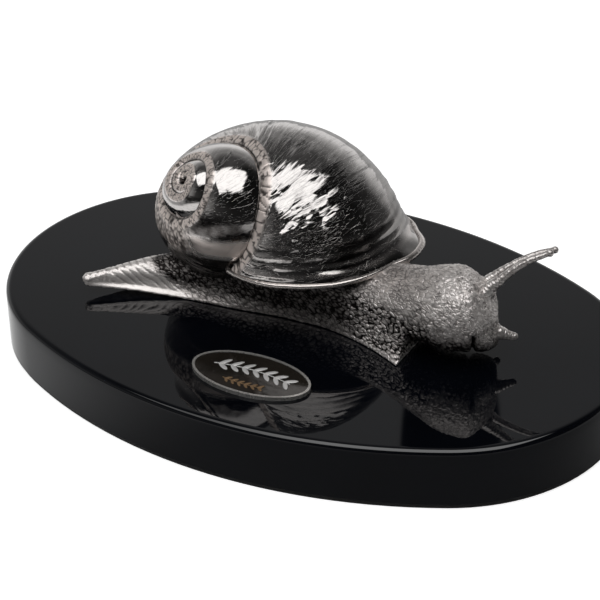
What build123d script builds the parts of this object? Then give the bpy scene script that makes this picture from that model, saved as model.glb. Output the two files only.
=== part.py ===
from build123d import *
from math import atan2, cos, degrees, hypot, radians, sin, tan
import os

os.makedirs("parts", exist_ok=True)

# Plinth: an oval of four tangent arcs, with its long axis along X
plinth_half_length = 100.0
plinth_half_width = 65.3
plinth_end_inset = 11.0
board_thick = 18.0
board_round = 1.2
pad_thick = 2.0
pad_inset = 1.0

# Fits
seat_clear = 0.2
hole_clear = 0.25
thread_clear = 0.05
cut_over = 1.0

# Shell: an oval section that grows as it turns round a tilted axis
apex_x = -34.0
apex_y = -10.9
apex_z = 60.4
axis_tilt = 50.5
axis_bearing = -122.6
mouth_turn = -29.1
section_half_width = 20.9
section_half_height = 29.3
section_lean = -10.5
mouth_drop = 45.3
section_growth = 1.92
drop_growth = 2.76
coil_oval_share = 0.066
coil_oval_angle = 119.6
axis_gap = 0.2
shell_wall = 2.6
lip_height = 16.5
lip_rise = 4.0
lip_start_x = -17.0
rear_seat_height = 3.2

# Growth angles, in degrees: nought at the mouth, a whorl earlier every -360
spiral_first = -900.0
spiral_last = 60.0
run_angle = 240.0
station_angle = 30.0
late_from = -180.0

# Foot and back: bell sections with hollow flanks, across a bent middle line
foot_tail_x = -66.0
foot_length = 104.5
foot_bend = 20.0
foot_half_width = 14.0
foot_sole = 0.8
back_height = 20.0
front_round = 1.5

# Neck and head: ovals along a middle line
head_x = 53.0
head_y = -1.4
head_z = 35.3
head_heading = 30.0
head_half_width = 12.0
head_half_height = 13.0
neck_length = 43.0
lip_radius = 3.2
lip_forward = 8.4
lip_apart = 3.2
lip_above = -7.2

# Tentacles, set in sockets of the head
upper_length = 20.4
upper_root_radius = 1.8
upper_tip_radius = 0.9
upper_forward = 6.0
upper_apart = 2.7
upper_above = 7.7
upper_climb = 29.0
upper_spread = 0.0
eye_radius = 1.1
lower_length = 6.6
lower_root_radius = 1.5
lower_tip_radius = 1.0
lower_forward = 9.3
lower_apart = 3.1
lower_above = -5.9
lower_climb = -5.0
lower_spread = 22.0
peg_length = 4.0
peg_radius = 1.2

# Badge
badge_half_length = 19.0
badge_half_width = 10.0
badge_thick = 1.2
badge_rim = 0.8
badge_recess = 0.5
badge_x = 3.6
badge_in = 24.3
field_thick = 0.3
sprig_thick = 0.25
leaf_half_length = 2.6
leaf_half_width = 1.0
leaf_pitch = 3.6
leaf_pairs = 3
leaf_turn = 35.0
stem_half_width = 0.35
badge_pin_radius = 0.8
badge_pin_length = 5.0
badge_pin_apart = 20.0

# Fasteners: M4 screws from under the plinth, in threaded inserts
screw_radius = 2.0
screw_head_radius = 3.5
screw_head_height = 2.8
screw_socket_radius = 1.3
screw_socket_depth = 1.6
washer_radius = 4.5
washer_thick = 0.8
insert_radius = 2.9
insert_length = 6.0
insert_sink = 1.5
foot_screw_places = ((-6.0, 2.0), (29.0, -2.0))
shell_screw_x = 12.0
shell_screw_y = 5.0
shell_post_radius = 6.0
dowel_radius = 2.0
dowel_in_board = 5.0
dowel_in_shell = 6.0
dowel_x = -34.0
dowel_y = -2.0

# The end arcs stand in from the plinth's sides
plinth_end_radius = plinth_half_width - plinth_end_inset
badge_y = badge_in - plinth_half_width

# Levels above the table
top_z = pad_thick + board_thick
lip_z = top_z + lip_height
rear_seat_z = top_z + rear_seat_height

# The plinth's side arcs follow from its two half sizes and its end arcs
side_radius = (plinth_half_length**2 - 2 * plinth_half_length * plinth_end_radius + plinth_half_width**2) / (
    2 * (plinth_half_width - plinth_end_radius)
)


def plinth_oval(inset, height):
    """The plinth's outline at a height, drawn in by an inset."""
    end_x = plinth_half_length - plinth_end_radius
    side_y = plinth_half_width - side_radius
    turn = degrees(atan2(-side_y, end_x))
    end_arc = plinth_end_radius - inset
    side_arc = side_radius - inset
    with BuildSketch(Plane.XY.offset(height)) as oval:
        with BuildLine():
            CenterArc((end_x, 0), end_arc, -turn, 2 * turn)
            CenterArc((0, side_y), side_arc, turn, 180 - 2 * turn)
            CenterArc((-end_x, 0), end_arc, 180 - turn, 2 * turn)
            CenterArc((0, -side_y), side_arc, 180 + turn, 180 - 2 * turn)
        make_face()
    return oval.sketch


# Holes for the screws from below: a counterbore for each head, then the shank
shank_hole_radius = screw_radius + hole_clear
head_hole_radius = washer_radius + hole_clear
head_hole_depth = screw_head_height + washer_thick + hole_clear
head_seat_z = pad_thick + head_hole_depth - washer_thick
screw_places = (*foot_screw_places, (shell_screw_x, shell_screw_y))
badge_pin_places = [(badge_x + side * badge_pin_apart / 2, badge_y) for side in (-1, 1)]

with BuildPart() as plinth_board:
    extrude(plinth_oval(0, pad_thick), amount=board_thick)
    fillet(plinth_board.faces().sort_by(Axis.Z)[-1].edges(), board_round)
    with BuildSketch(Plane.XY.offset(pad_thick)):
        with Locations(*screw_places):
            Circle(head_hole_radius)
    extrude(amount=head_hole_depth, mode=Mode.SUBTRACT)
    with BuildSketch(Plane.XY.offset(pad_thick)):
        with Locations(*screw_places):
            Circle(shank_hole_radius)
    extrude(amount=board_thick, mode=Mode.SUBTRACT)
    with BuildSketch(Plane.XY.offset(top_z)):
        with Locations(*badge_pin_places):
            Circle(badge_pin_radius + hole_clear)
    extrude(amount=-badge_pin_length - hole_clear, mode=Mode.SUBTRACT)
    with BuildSketch(Plane.XY.offset(top_z)):
        with Locations((dowel_x, dowel_y)):
            Circle(dowel_radius + thread_clear)
    extrude(amount=-dowel_in_board - hole_clear, mode=Mode.SUBTRACT)
plinth_board.part.label = "plinth_board"

with BuildPart() as felt_pad:
    extrude(plinth_oval(pad_inset, 0), amount=pad_thick)
felt_pad.part.label = "felt_pad"

# The shell's axis points out of the spire; the coil plane's own Z runs down it
axis_out = Vector(
    sin(radians(axis_tilt)) * cos(radians(axis_bearing)),
    sin(radians(axis_tilt)) * sin(radians(axis_bearing)),
    cos(radians(axis_tilt)),
)
level = Vector(0, 0, 1).cross(axis_out).normalized()
mouth_dir = level.rotate(Axis((0, 0, 0), axis_out), mouth_turn)
coil = Plane(origin=(apex_x, apex_y, apex_z), x_dir=mouth_dir, z_dir=-axis_out)


def section_plane(angle):
    """Plane through the shell's axis at a growth angle: X outwards, Y down the axis."""
    outwards = coil.x_dir * cos(radians(angle)) + coil.y_dir * sin(radians(angle))
    return Plane(origin=coil.origin, x_dir=outwards, z_dir=outwards.cross(coil.z_dir))


# A section's half reach across the axis, which the ring radius just clears
section_reach = hypot(
    section_half_width * cos(radians(section_lean)), section_half_height * sin(radians(section_lean))
)


def whorl_run(first, last, grow):
    """One run of the spiral, lofted between oval sections that are each grown by a margin."""
    with BuildPart() as run:
        for station in range(round((last - first) / station_angle) + 1):
            angle = first + station * station_angle
            oval = 1 + coil_oval_share * cos(radians(2 * (angle - coil_oval_angle)))
            scale = section_growth ** (angle / 360) * oval
            drop = mouth_drop * drop_growth ** (angle / 360)
            with BuildSketch(section_plane(angle)):
                with Locations(((section_reach + axis_gap) * scale, drop)):
                    Ellipse(
                        section_half_height * scale + grow,
                        section_half_width * scale + grow,
                        rotation=90 + section_lean,
                    )
        loft(clean=False)
    return run.part


# The lip's plane rises towards the head
lip_plane = Plane(
    origin=(lip_start_x, 0, lip_z),
    x_dir=(cos(radians(lip_rise)), 0, sin(radians(lip_rise))),
    z_dir=(-sin(radians(lip_rise)), 0, cos(radians(lip_rise))),
)


def shell_form(grow, first):
    """The shell's outer form from a growth angle on, grown by a margin all round."""
    with BuildPart() as late:
        add(whorl_run(late_from, spiral_last, grow))
        split(bisect_by=lip_plane.offset(-grow), keep=Keep.TOP)
    with BuildPart() as early:
        start = late_from
        while start > first:
            add(whorl_run(start - run_angle, start, grow))
            start = start - run_angle
        split(bisect_by=Plane.XY.offset(rear_seat_z - grow), keep=Keep.TOP)
    with BuildPart() as form:
        add(early.part)
        add(late.part)
    return form.part


def lip_height_at(x):
    """Height of the lip's plane at a place along X."""
    return lip_z + (x - lip_start_x) * tan(radians(lip_rise))


insert_z = lip_height_at(shell_screw_x + insert_radius) + insert_sink
dowel_top_z = rear_seat_z + dowel_in_shell

# The last half whorl is hollow, round a post for the screw
with BuildPart() as hollow:
    add(whorl_run(late_from, spiral_last, -shell_wall))
    split(bisect_by=lip_plane.offset(-cut_over), keep=Keep.TOP)
    with BuildSketch(Plane.XY):
        with Locations((shell_screw_x, shell_screw_y)):
            Circle(shell_post_radius)
    extrude(amount=apex_z * 2, mode=Mode.SUBTRACT)

with BuildPart() as shell_casting:
    add(shell_form(0, spiral_first))
    add(hollow.part, mode=Mode.SUBTRACT)
    with BuildSketch(Plane.XY.offset(top_z)):
        with Locations((shell_screw_x, shell_screw_y)):
            Circle(insert_radius)
    extrude(amount=insert_z + insert_length - top_z, mode=Mode.SUBTRACT)
    with BuildSketch(Plane.XY.offset(top_z)):
        with Locations((dowel_x, dowel_y)):
            Circle(dowel_radius + thread_clear)
    extrude(amount=dowel_top_z + hole_clear - top_z, mode=Mode.SUBTRACT)
shell_casting.part.label = "shell_casting"

# Foot stations: along, sideways, raised, half width, then the back's place sideways, half width at the
# shoulder, shoulder height and full height, as shares
foot_shares = (
    (0.000, -1.21, 0.130, 0.10, -1.21, 0.07, 0.03, 0.065),
    (0.057, -0.96, 0.095, 0.28, -0.96, 0.19, 0.09, 0.200),
    (0.149, -0.57, 0.040, 0.49, -0.56, 0.34, 0.17, 0.415),
    (0.287, -0.13, 0.000, 0.78, -0.10, 0.60, 0.28, 0.575),
    (0.440, 0.12, 0.000, 1.00, 0.17, 0.93, 0.40, 0.725),
    (0.584, 0.23, 0.000, 0.99, 0.31, 1.13, 0.60, 1.000),
    (0.727, 0.22, 0.000, 0.92, 0.31, 1.09, 0.60, 1.050),
    (0.823, 0.15, 0.000, 0.94, 0.21, 0.91, 0.55, 0.975),
    (0.909, 0.02, 0.000, 0.96, 0.08, 0.84, 0.57, 1.020),
    (1.000, -0.10, 0.000, 1.10, -0.05, 0.80, 0.60, 1.070),
)
flank_share = 0.15
front_share = 0.85


def bell_section(place, aside, wide, back_aside, narrow, shoulder, back):
    """One section of the foot: a flat sole, a thin edge, hollow flanks and a rounded back."""
    sole = foot_sole * wide / foot_half_width
    shift = back_aside - aside
    hollow = min(wide, narrow)
    with BuildSketch(Plane(origin=place, x_dir=(0, 1, 0), z_dir=(1, 0, 0))) as section:
        with BuildLine():
            EllipticalCenterArc((shift, shoulder), narrow, back - shoulder, 0, arc_size=180)
            for side in (1, -1):
                Bezier(
                    (side * wide, sole),
                    (flank_share * shift + side * hollow, sole + flank_share * shoulder),
                    (shift + side * narrow, shoulder),
                )
            Polyline((-wide, sole), (-wide, 0), (wide, 0), (wide, sole))
        make_face()
    return section.sketch


def foot_section(along, aside, raised, wide, back_aside, narrow, shoulder, back, ahead=0, smaller=1):
    """The bell section of a foot station, or one ahead of it that is smaller by a share."""
    return bell_section(
        (foot_tail_x + along * foot_length + ahead, aside * foot_bend, top_z + raised * back_height),
        aside * foot_bend,
        wide * foot_half_width * smaller,
        back_aside * foot_bend,
        narrow * foot_half_width * smaller,
        shoulder * back_height * smaller,
        back * back_height * smaller,
    )


with BuildPart() as foot:
    loft([foot_section(*shares) for shares in foot_shares])

with BuildPart() as foot_front:
    loft([foot_section(*foot_shares[-1]), foot_section(*foot_shares[-1], front_round, front_share)], ruled=True)

# Neck and head stations: back from the head's middle, sideways, up, turn, half width and height, as shares
neck_shares = (
    (1.00, 0.62, -0.41, 0.00, 1.00, 0.62),
    (0.77, 0.47, -0.38, -0.10, 0.98, 0.66),
    (0.56, 0.25, -0.31, -0.10, 0.96, 0.72),
    (0.36, 0.05, -0.19, 0.10, 0.96, 0.81),
    (0.17, -0.08, -0.05, 0.55, 1.01, 0.94),
    (0.00, 0.00, 0.00, 1.00, 1.00, 1.00),
    (-0.12, 0.25, -0.13, 1.00, 0.79, 0.85),
    (-0.20, 0.41, -0.27, 1.00, 0.43, 0.54),
)
head_middle = Vector(head_x, head_y, head_z)
upwards = Vector(0, 0, 1)


def bearing(turn):
    """Level direction at a turn from +X towards +Y."""
    return Vector(cos(radians(turn)), sin(radians(turn)), 0)


def neck_section(back, aside, up, turn, wide, high):
    """One oval of the neck, in two halves, so that all of them start at the same side."""
    shift = Vector(-back * neck_length, aside * head_half_width, up * head_half_height)
    ahead = bearing(turn * head_heading)
    half_width = head_half_width * wide
    half_height = head_half_height * high
    with BuildSketch(Plane(origin=head_middle + shift, x_dir=upwards.cross(ahead), z_dir=ahead)) as section:
        with BuildLine():
            for start in (0, 180):
                EllipticalCenterArc((0, 0), half_width, half_height, start, arc_size=180)
        make_face()
    return section.sketch


with BuildPart() as neck:
    loft([neck_section(*shares) for shares in neck_shares])


def on_head(side, forward, apart, above):
    """A place on the head: forward, to a side and up from its middle."""
    ahead = bearing(head_heading)
    return head_middle + ahead * forward + upwards.cross(ahead) * (side * apart) + upwards * above


sides = {"right": -1, "left": 1}
with BuildPart() as lips:
    with Locations(*[on_head(side, lip_forward, lip_apart, lip_above) for side in sides.values()]):
        Sphere(lip_radius)

# Stalk stations: along the tentacle, and how far it arches up, as shares of its length
stalk_shares = ((0.0, 0.0), (0.35, 0.06), (0.7, 0.06), (1.0, 0.0))


def tentacle_plane(side, place):
    """Root of a tentacle on the head, with Z along the tentacle and X upwards."""
    forward, apart, above, climb, spread = place
    root = on_head(side, forward, apart, above)
    level_aim = bearing(head_heading + side * spread)
    rise = radians(climb)
    return Plane(
        origin=root,
        x_dir=upwards * cos(rise) - level_aim * sin(rise),
        z_dir=level_aim * cos(rise) + upwards * sin(rise),
    )


def tentacle(side, place, length, root_radius, tip_radius, bead_radius):
    """A tentacle: a peg in the head, a tapering arched stalk and a round end."""
    root = tentacle_plane(side, place)
    with BuildPart() as stalk:
        for along, arch in stalk_shares:
            centre = root.from_local_coords((arch * length, 0, along * length))
            with BuildSketch(Plane(origin=centre, x_dir=root.x_dir, z_dir=root.z_dir)):
                Circle(root_radius + (tip_radius - root_radius) * along)
        loft()
        with Locations(root.from_local_coords((0, 0, length))):
            Sphere(bead_radius)
        with BuildSketch(root):
            Circle(peg_radius)
        extrude(amount=-peg_length)
    return stalk.part


upper_place = (upper_forward, upper_apart, upper_above, upper_climb, upper_spread)
lower_place = (lower_forward, lower_apart, lower_above, lower_climb, lower_spread)
upper_sizes = (upper_length, upper_root_radius, upper_tip_radius, eye_radius)
lower_sizes = (lower_length, lower_root_radius, lower_tip_radius, lower_tip_radius)
tentacles = {}
for side_name, side in sides.items():
    tentacles["upper_tentacle_" + side_name] = tentacle(side, upper_place, *upper_sizes)
    tentacles["lower_tentacle_" + side_name] = tentacle(side, lower_place, *lower_sizes)

shell_room = shell_form(seat_clear, late_from - run_angle)

with BuildPart() as body_casting:
    add(foot.part)
    add(foot_front.part)
    add(neck.part)
    add(lips.part)
    split(bisect_by=Plane.XY.offset(top_z), keep=Keep.TOP)
    add(shell_room, mode=Mode.SUBTRACT)
    with BuildSketch(Plane.XY.offset(top_z)):
        with Locations(*foot_screw_places):
            Circle(insert_radius)
    extrude(amount=insert_length + hole_clear, mode=Mode.SUBTRACT)
    with BuildSketch(Plane.XY.offset(top_z)):
        with Locations((shell_screw_x, shell_screw_y)):
            Circle(shank_hole_radius)
        with Locations((dowel_x, dowel_y)):
            Circle(dowel_radius + hole_clear)
    extrude(amount=apex_z, mode=Mode.SUBTRACT)
    for place, root_radius in ((upper_place, upper_root_radius), (lower_place, lower_root_radius)):
        for side in sides.values():
            with BuildSketch(tentacle_plane(side, place)):
                Circle(peg_radius + thread_clear)
            extrude(amount=-peg_length - hole_clear, mode=Mode.SUBTRACT)
            with BuildSketch(tentacle_plane(side, place)):
                Circle(root_radius + seat_clear)
            extrude(amount=2 * root_radius, mode=Mode.SUBTRACT)
body_casting.part.label = "body_casting"

# Badge: a plate with a raised rim, an inlay and a sprig on it
badge_floor_z = top_z + badge_thick - badge_recess
field_top_z = badge_floor_z + field_thick
field_half_length = badge_half_length - badge_rim
field_half_width = badge_half_width - badge_rim

with BuildPart() as badge_plate:
    with BuildSketch(Plane.XY.offset(top_z)):
        with Locations((badge_x, badge_y)):
            Ellipse(badge_half_length, badge_half_width)
    extrude(amount=badge_thick)
    with BuildSketch(Plane.XY.offset(badge_floor_z)):
        with Locations((badge_x, badge_y)):
            Ellipse(field_half_length, field_half_width)
    extrude(amount=badge_recess, mode=Mode.SUBTRACT)
badge_plate.part.label = "badge_plate"

with BuildPart() as badge_field:
    with BuildSketch(Plane.XY.offset(badge_floor_z)):
        with Locations((badge_x, badge_y)):
            Ellipse(field_half_length - thread_clear, field_half_width - thread_clear)
    extrude(amount=field_thick)
badge_field.part.label = "badge_field"

with BuildPart() as badge_sprig:
    with BuildSketch(Plane.XY.offset(field_top_z)):
        with Locations((badge_x, badge_y)):
            Rectangle(leaf_pitch * (leaf_pairs + 1), 2 * stem_half_width)
        for pair in range(leaf_pairs):
            leaf_x = badge_x + (pair - (leaf_pairs - 1) / 2) * leaf_pitch
            for side in sides.values():
                leaf_out = Vector(leaf_half_length, 0).rotate(Axis.Z, side * leaf_turn)
                with Locations((leaf_x + leaf_out.X, badge_y + leaf_out.Y)):
                    Ellipse(leaf_half_length, leaf_half_width, rotation=side * leaf_turn)
    extrude(amount=sprig_thick)
badge_sprig.part.label = "badge_sprig"

with BuildPart() as badge_pins:
    with BuildSketch(Plane.XY.offset(top_z)):
        with Locations(*badge_pin_places):
            Circle(badge_pin_radius)
    extrude(amount=-badge_pin_length)
badge_pins.part.label = "badge_pins"


def screws(places, end_z):
    """Screws with hexagon sockets, their heads up against the washers."""
    with BuildPart() as group:
        with BuildSketch(Plane.XY.offset(head_seat_z)):
            with Locations(*places):
                Circle(screw_head_radius)
        extrude(amount=-screw_head_height)
        with BuildSketch(Plane.XY.offset(head_seat_z)):
            with Locations(*places):
                Circle(screw_radius)
        extrude(amount=end_z - head_seat_z)
        with BuildSketch(Plane.XY.offset(head_seat_z - screw_head_height)):
            with Locations(*places):
                RegularPolygon(screw_socket_radius, 6)
        extrude(amount=screw_socket_depth, mode=Mode.SUBTRACT)
    return group.part


def rings(places, base_z, outer_radius, bore_radius, height):
    """Washers or threaded inserts, one at each place."""
    with BuildPart() as group:
        with BuildSketch(Plane.XY.offset(base_z)):
            with Locations(*places):
                Circle(outer_radius)
                Circle(bore_radius, mode=Mode.SUBTRACT)
        extrude(amount=height)
    return group.part


shell_screw_place = ((shell_screw_x, shell_screw_y),)
thread_bore = screw_radius + thread_clear
insert_outer = insert_radius - thread_clear
fasteners = {
    "foot_screws": screws(foot_screw_places, top_z + insert_length),
    "shell_screw": screws(shell_screw_place, insert_z + insert_length),
    "screw_washers": rings(screw_places, head_seat_z, washer_radius, thread_bore, washer_thick),
    "foot_inserts": rings(foot_screw_places, top_z, insert_outer, thread_bore, insert_length),
    "shell_insert": rings(shell_screw_place, insert_z, insert_outer, thread_bore, insert_length),
}

with BuildPart() as shell_dowel:
    with BuildSketch(Plane.XY.offset(top_z - dowel_in_board)):
        with Locations((dowel_x, dowel_y)):
            Circle(dowel_radius)
    extrude(amount=dowel_top_z - top_z + dowel_in_board)
shell_dowel.part.label = "shell_dowel"

for group in (tentacles, fasteners):
    for name, piece in group.items():
        piece.label = name

# Every piece goes out under its own name
pieces = (
    plinth_board,
    felt_pad,
    body_casting,
    shell_casting,
    shell_dowel,
    badge_plate,
    badge_field,
    badge_sprig,
    badge_pins,
)
for piece in (*[made.part for made in pieces], *tentacles.values(), *fasteners.values()):
    export_step(piece, "parts/" + piece.label + ".step")
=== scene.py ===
import logging
from dataclasses import dataclass, field
from enum import Enum, IntEnum
from math import cos, pi, radians, sin, tan

import bpy
import numpy as np
from mathutils import Matrix, Vector


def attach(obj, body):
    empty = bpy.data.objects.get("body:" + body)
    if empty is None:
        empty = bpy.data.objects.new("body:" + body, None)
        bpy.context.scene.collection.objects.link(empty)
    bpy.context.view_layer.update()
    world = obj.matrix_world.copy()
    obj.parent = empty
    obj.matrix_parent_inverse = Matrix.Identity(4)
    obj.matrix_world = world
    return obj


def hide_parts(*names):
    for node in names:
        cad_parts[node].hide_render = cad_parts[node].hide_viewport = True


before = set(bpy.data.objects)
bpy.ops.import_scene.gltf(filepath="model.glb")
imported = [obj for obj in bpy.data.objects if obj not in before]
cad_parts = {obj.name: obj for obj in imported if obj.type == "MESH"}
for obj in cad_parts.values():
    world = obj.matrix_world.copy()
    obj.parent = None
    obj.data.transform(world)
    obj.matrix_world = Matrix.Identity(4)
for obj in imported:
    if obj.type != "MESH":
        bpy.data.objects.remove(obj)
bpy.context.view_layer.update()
LOG = logging.getLogger("snail")

MM = 0.001
TURN = 360.0
# Height of the plinth's top, in millimetres and in metres
TOP = 20.0
TOP_Z = TOP * MM
# A new grid is swept through this many radians before it is shaped, about a centre this far away
SWEEP = 3.0
SWEEP_CENTRE = 3.0

Socket = bpy.types.NodeSocket
Value = Socket | float | tuple


class Trait(Enum):
    """What a vertex notes for its material."""

    ALONG = "along"
    ACROSS = "across"
    # Wear, together with painted shade and painted reflections on the shell and the body
    WEAR = "wear_and_painted_light"
    # The matt share; on the shell it also paints a pale reflection of the floor
    BAND = "band"
    CHIPS = "chips"
    WRINKLE = "wrinkle"
    PITS = "pits"
    WALL = "wall"
    GILT = "gilt"


class Seed(IntEnum):
    """Which pattern a noise draws."""

    TILE_DRIFT = 1
    TILES = 3
    PATCHES = 5
    WAVES = 7
    DENTS = 11
    LIP_WOBBLE = 13
    SHELL_PEBBLES = 17
    STREAKS = 19
    SKIN_DRIFT = 21
    SKIN_PEBBLES = 31
    SKIN_GRAINS = 37
    SKIN_PATCHES = 41
    TIP_SPOTS = 43
    BLOTCHES = 47
    STALK = 51
    STALK_FINE = 53


def deselect() -> None:
    """Leave edit mode and clear the selection."""
    if bpy.context.object and bpy.context.object.mode != "OBJECT":
        bpy.ops.object.mode_set(mode="OBJECT")
    bpy.ops.object.select_all(action="DESELECT")


def focus(piece: bpy.types.Object) -> None:
    """Make a piece the only selected and the active one.

    Args:
        piece: The piece to work on.
    """
    deselect()
    piece.select_set(True)
    bpy.context.view_layer.objects.active = piece


def apply_modifier(piece: bpy.types.Object, kind: str, **settings: object) -> None:
    """Add a modifier to a piece and apply it.

    Args:
        piece: The piece to change.
        kind: Blender's name of the modifier type.
        settings: Values for the modifier's own properties.
    """
    focus(piece)
    modifier = piece.modifiers.new(kind.lower(), kind)
    for name, value in settings.items():
        setattr(modifier, name, value)
    bpy.ops.object.modifier_apply(modifier=modifier.name)


def recalculate_normals(piece: bpy.types.Object) -> None:
    """Turn all faces of a piece outwards.

    Args:
        piece: The closed piece whose faces are turned.
    """
    focus(piece)
    bpy.ops.object.mode_set(mode="EDIT")
    bpy.ops.mesh.select_all(action="SELECT")
    bpy.ops.mesh.normals_make_consistent(inside=False)
    bpy.ops.object.mode_set(mode="OBJECT")


def smooth_shade(piece: bpy.types.Object, angle: float = 180.0) -> None:
    """Shade a piece smooth, with edges over an angle in degrees kept sharp.

    Args:
        piece: The piece to shade.
        angle: Edges that turn by more degrees than this stay sharp.
    """
    focus(piece)
    if angle < 180.0:
        bpy.ops.object.shade_smooth_by_angle(angle=radians(angle))
    else:
        bpy.ops.object.shade_smooth()


def places(piece: bpy.types.Object) -> np.ndarray:
    """A piece's vertex places, one row each.

    Args:
        piece: The piece to read.

    Returns:
        Rows of X, Y and Z in metres.
    """
    values = np.empty(len(piece.data.vertices) * 3)
    piece.data.vertices.foreach_get("co", values)
    return values.reshape(-1, 3)


def set_places(piece: bpy.types.Object, values: np.ndarray) -> None:
    """Put a piece's vertices at new places."""
    piece.data.vertices.foreach_set("co", np.asarray(values, dtype=float).ravel())
    piece.data.update()


def vertex_normals(piece: bpy.types.Object) -> np.ndarray:
    """A piece's vertex normals, one row each.

    Args:
        piece: The piece to read.

    Returns:
        Rows of X, Y and Z.
    """
    values = np.empty(len(piece.data.vertices) * 3)
    piece.data.vertex_normals.foreach_get("vector", values)
    return values.reshape(-1, 3)


def note(piece: bpy.types.Object, trait: Trait, values: np.ndarray | float) -> None:
    """Keep one number for each vertex, for a material to read.

    Args:
        piece: The piece whose vertices are noted.
        trait: What the numbers tell.
        values: One number for each vertex, or one for them all.
    """
    attributes = piece.data.attributes
    attribute = attributes.get(trait.value) or attributes.new(trait.value, "FLOAT", "POINT")
    spread = np.broadcast_to(np.asarray(values, dtype=float), len(piece.data.vertices))
    attribute.data.foreach_set("value", np.ascontiguousarray(spread))


def paint(piece: bpy.types.Object, material: bpy.types.Material) -> None:
    """Give a new piece its one material."""
    piece.data.materials.clear()
    piece.data.materials.append(material)


def rename(piece: bpy.types.Object, name: str) -> None:
    """Name a piece and its mesh."""
    piece.name = piece.data.name = name


def join(pieces: list[bpy.types.Object]) -> bpy.types.Object:
    """Join pieces into the first one.

    Args:
        pieces: The pieces, of which the first keeps its name.

    Returns:
        The joined piece.
    """
    focus(pieces[0])
    for piece in pieces[1:]:
        piece.select_set(True)
    bpy.ops.object.join()
    return pieces[0]


def step(values: np.ndarray, low: float | np.ndarray, high: float | np.ndarray) -> np.ndarray:
    """A smooth step from nought at low to one at high.

    Args:
        values: The numbers to step.
        low: Where the step starts.
        high: Where it ends.

    Returns:
        Numbers from 0 to 1.
    """
    share = np.clip((values - low) / (high - low), 0.0, 1.0)
    return share * share * (3.0 - 2.0 * share)


def window(values: np.ndarray, stops: tuple) -> np.ndarray:
    """A smooth step up between the first two stops, and down between the last two."""
    return step(values, stops[0], stops[1]) * (1.0 - step(values, stops[2], stops[3]))


def blend(value: np.ndarray | float, target: np.ndarray | float, share: np.ndarray) -> np.ndarray:
    """A value taken towards a target by a share from 0 to 1."""
    return value * (1.0 - share) + share * target


def bump_at(values: np.ndarray, middle: float, half: float) -> np.ndarray:
    """A smooth bump of height one about a middle."""
    return np.exp(-(((values - middle) / half) ** 2))


def smoothed(rows: np.ndarray, length: int) -> np.ndarray:
    """Even out rows along their order, and keep the first and the last where they are.

    Args:
        rows: The rows to smooth.
        length: How many rows the bell-shaped window spans, its two empty ends counted.

    Returns:
        As many rows, smoothed.
    """
    kernel = np.hanning(length)[1:-1]
    kernel = kernel / kernel.sum()
    reach = len(kernel) // 2
    before = 2 * rows[0] - rows[reach:0:-1]
    after = 2 * rows[-1] - rows[-2 : -reach - 2 : -1]
    padded = np.concatenate([before, rows, after])
    return np.stack([np.convolve(column, kernel, mode="valid") for column in padded.T], axis=1)


def hashed(cells: np.ndarray, seed: float) -> np.ndarray:
    """A steady number from 0 to 1 for each whole-number cell, as good as random.

    Args:
        cells: Rows of three whole numbers.
        seed: Chooses the pattern.

    Returns:
        One number for each row.
    """
    mixed = cells @ np.array([127.1, 311.7, 74.7]) + seed * 17.31
    return np.mod(np.sin(mixed) * 43758.5453, 1.0)


def soft_noise(points: np.ndarray, seed: float) -> np.ndarray:
    """Smooth noise from -1 to 1 with features about one unit across.

    Args:
        points: Rows of three numbers.
        seed: Chooses the pattern.

    Returns:
        One number for each row.
    """
    base = np.floor(points)
    part = points - base
    part = part * part * (3.0 - 2.0 * part)
    total = np.zeros(len(points))
    for corner in np.ndindex(2, 2, 2):
        weight = np.ones(len(points))
        for axis in range(3):
            weight *= part[:, axis] if corner[axis] else 1.0 - part[:, axis]
        total += weight * hashed(base + np.array(corner), seed)
    return 2.0 * total - 1.0


def drift_noise(points: np.ndarray, seed: int) -> np.ndarray:
    """Three smooth noises side by side, which shift a pattern in three directions."""
    return np.stack([soft_noise(points, seed + shift) for shift in range(3)], axis=1)


def cell_gaps(points: np.ndarray, seed: float) -> np.ndarray:
    """How far each point lies inside its cell: nought on the border between two cells.

    Args:
        points: Rows of three numbers, in cell sizes.
        seed: Chooses the pattern.

    Returns:
        The distance to the second nearest cell centre less that to the nearest.
    """
    base = np.floor(points)
    first = np.full(len(points), 9.0)
    second = np.full(len(points), 9.0)
    for offset in np.ndindex(3, 3, 3):
        cell = base + np.array(offset) - 1.0
        jitter = np.stack([hashed(cell, seed + shift) for shift in (0.0, 1.0, 2.0)], axis=1)
        distance = np.linalg.norm(cell + jitter - points, axis=1)
        second = np.minimum(second, np.maximum(first, distance))
        first = np.minimum(first, distance)
    return second - first


@dataclass
class Grid:
    """A closed tube whose vertices know their ring and their side."""

    piece: bpy.types.Object
    ring: np.ndarray
    side: np.ndarray


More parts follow.
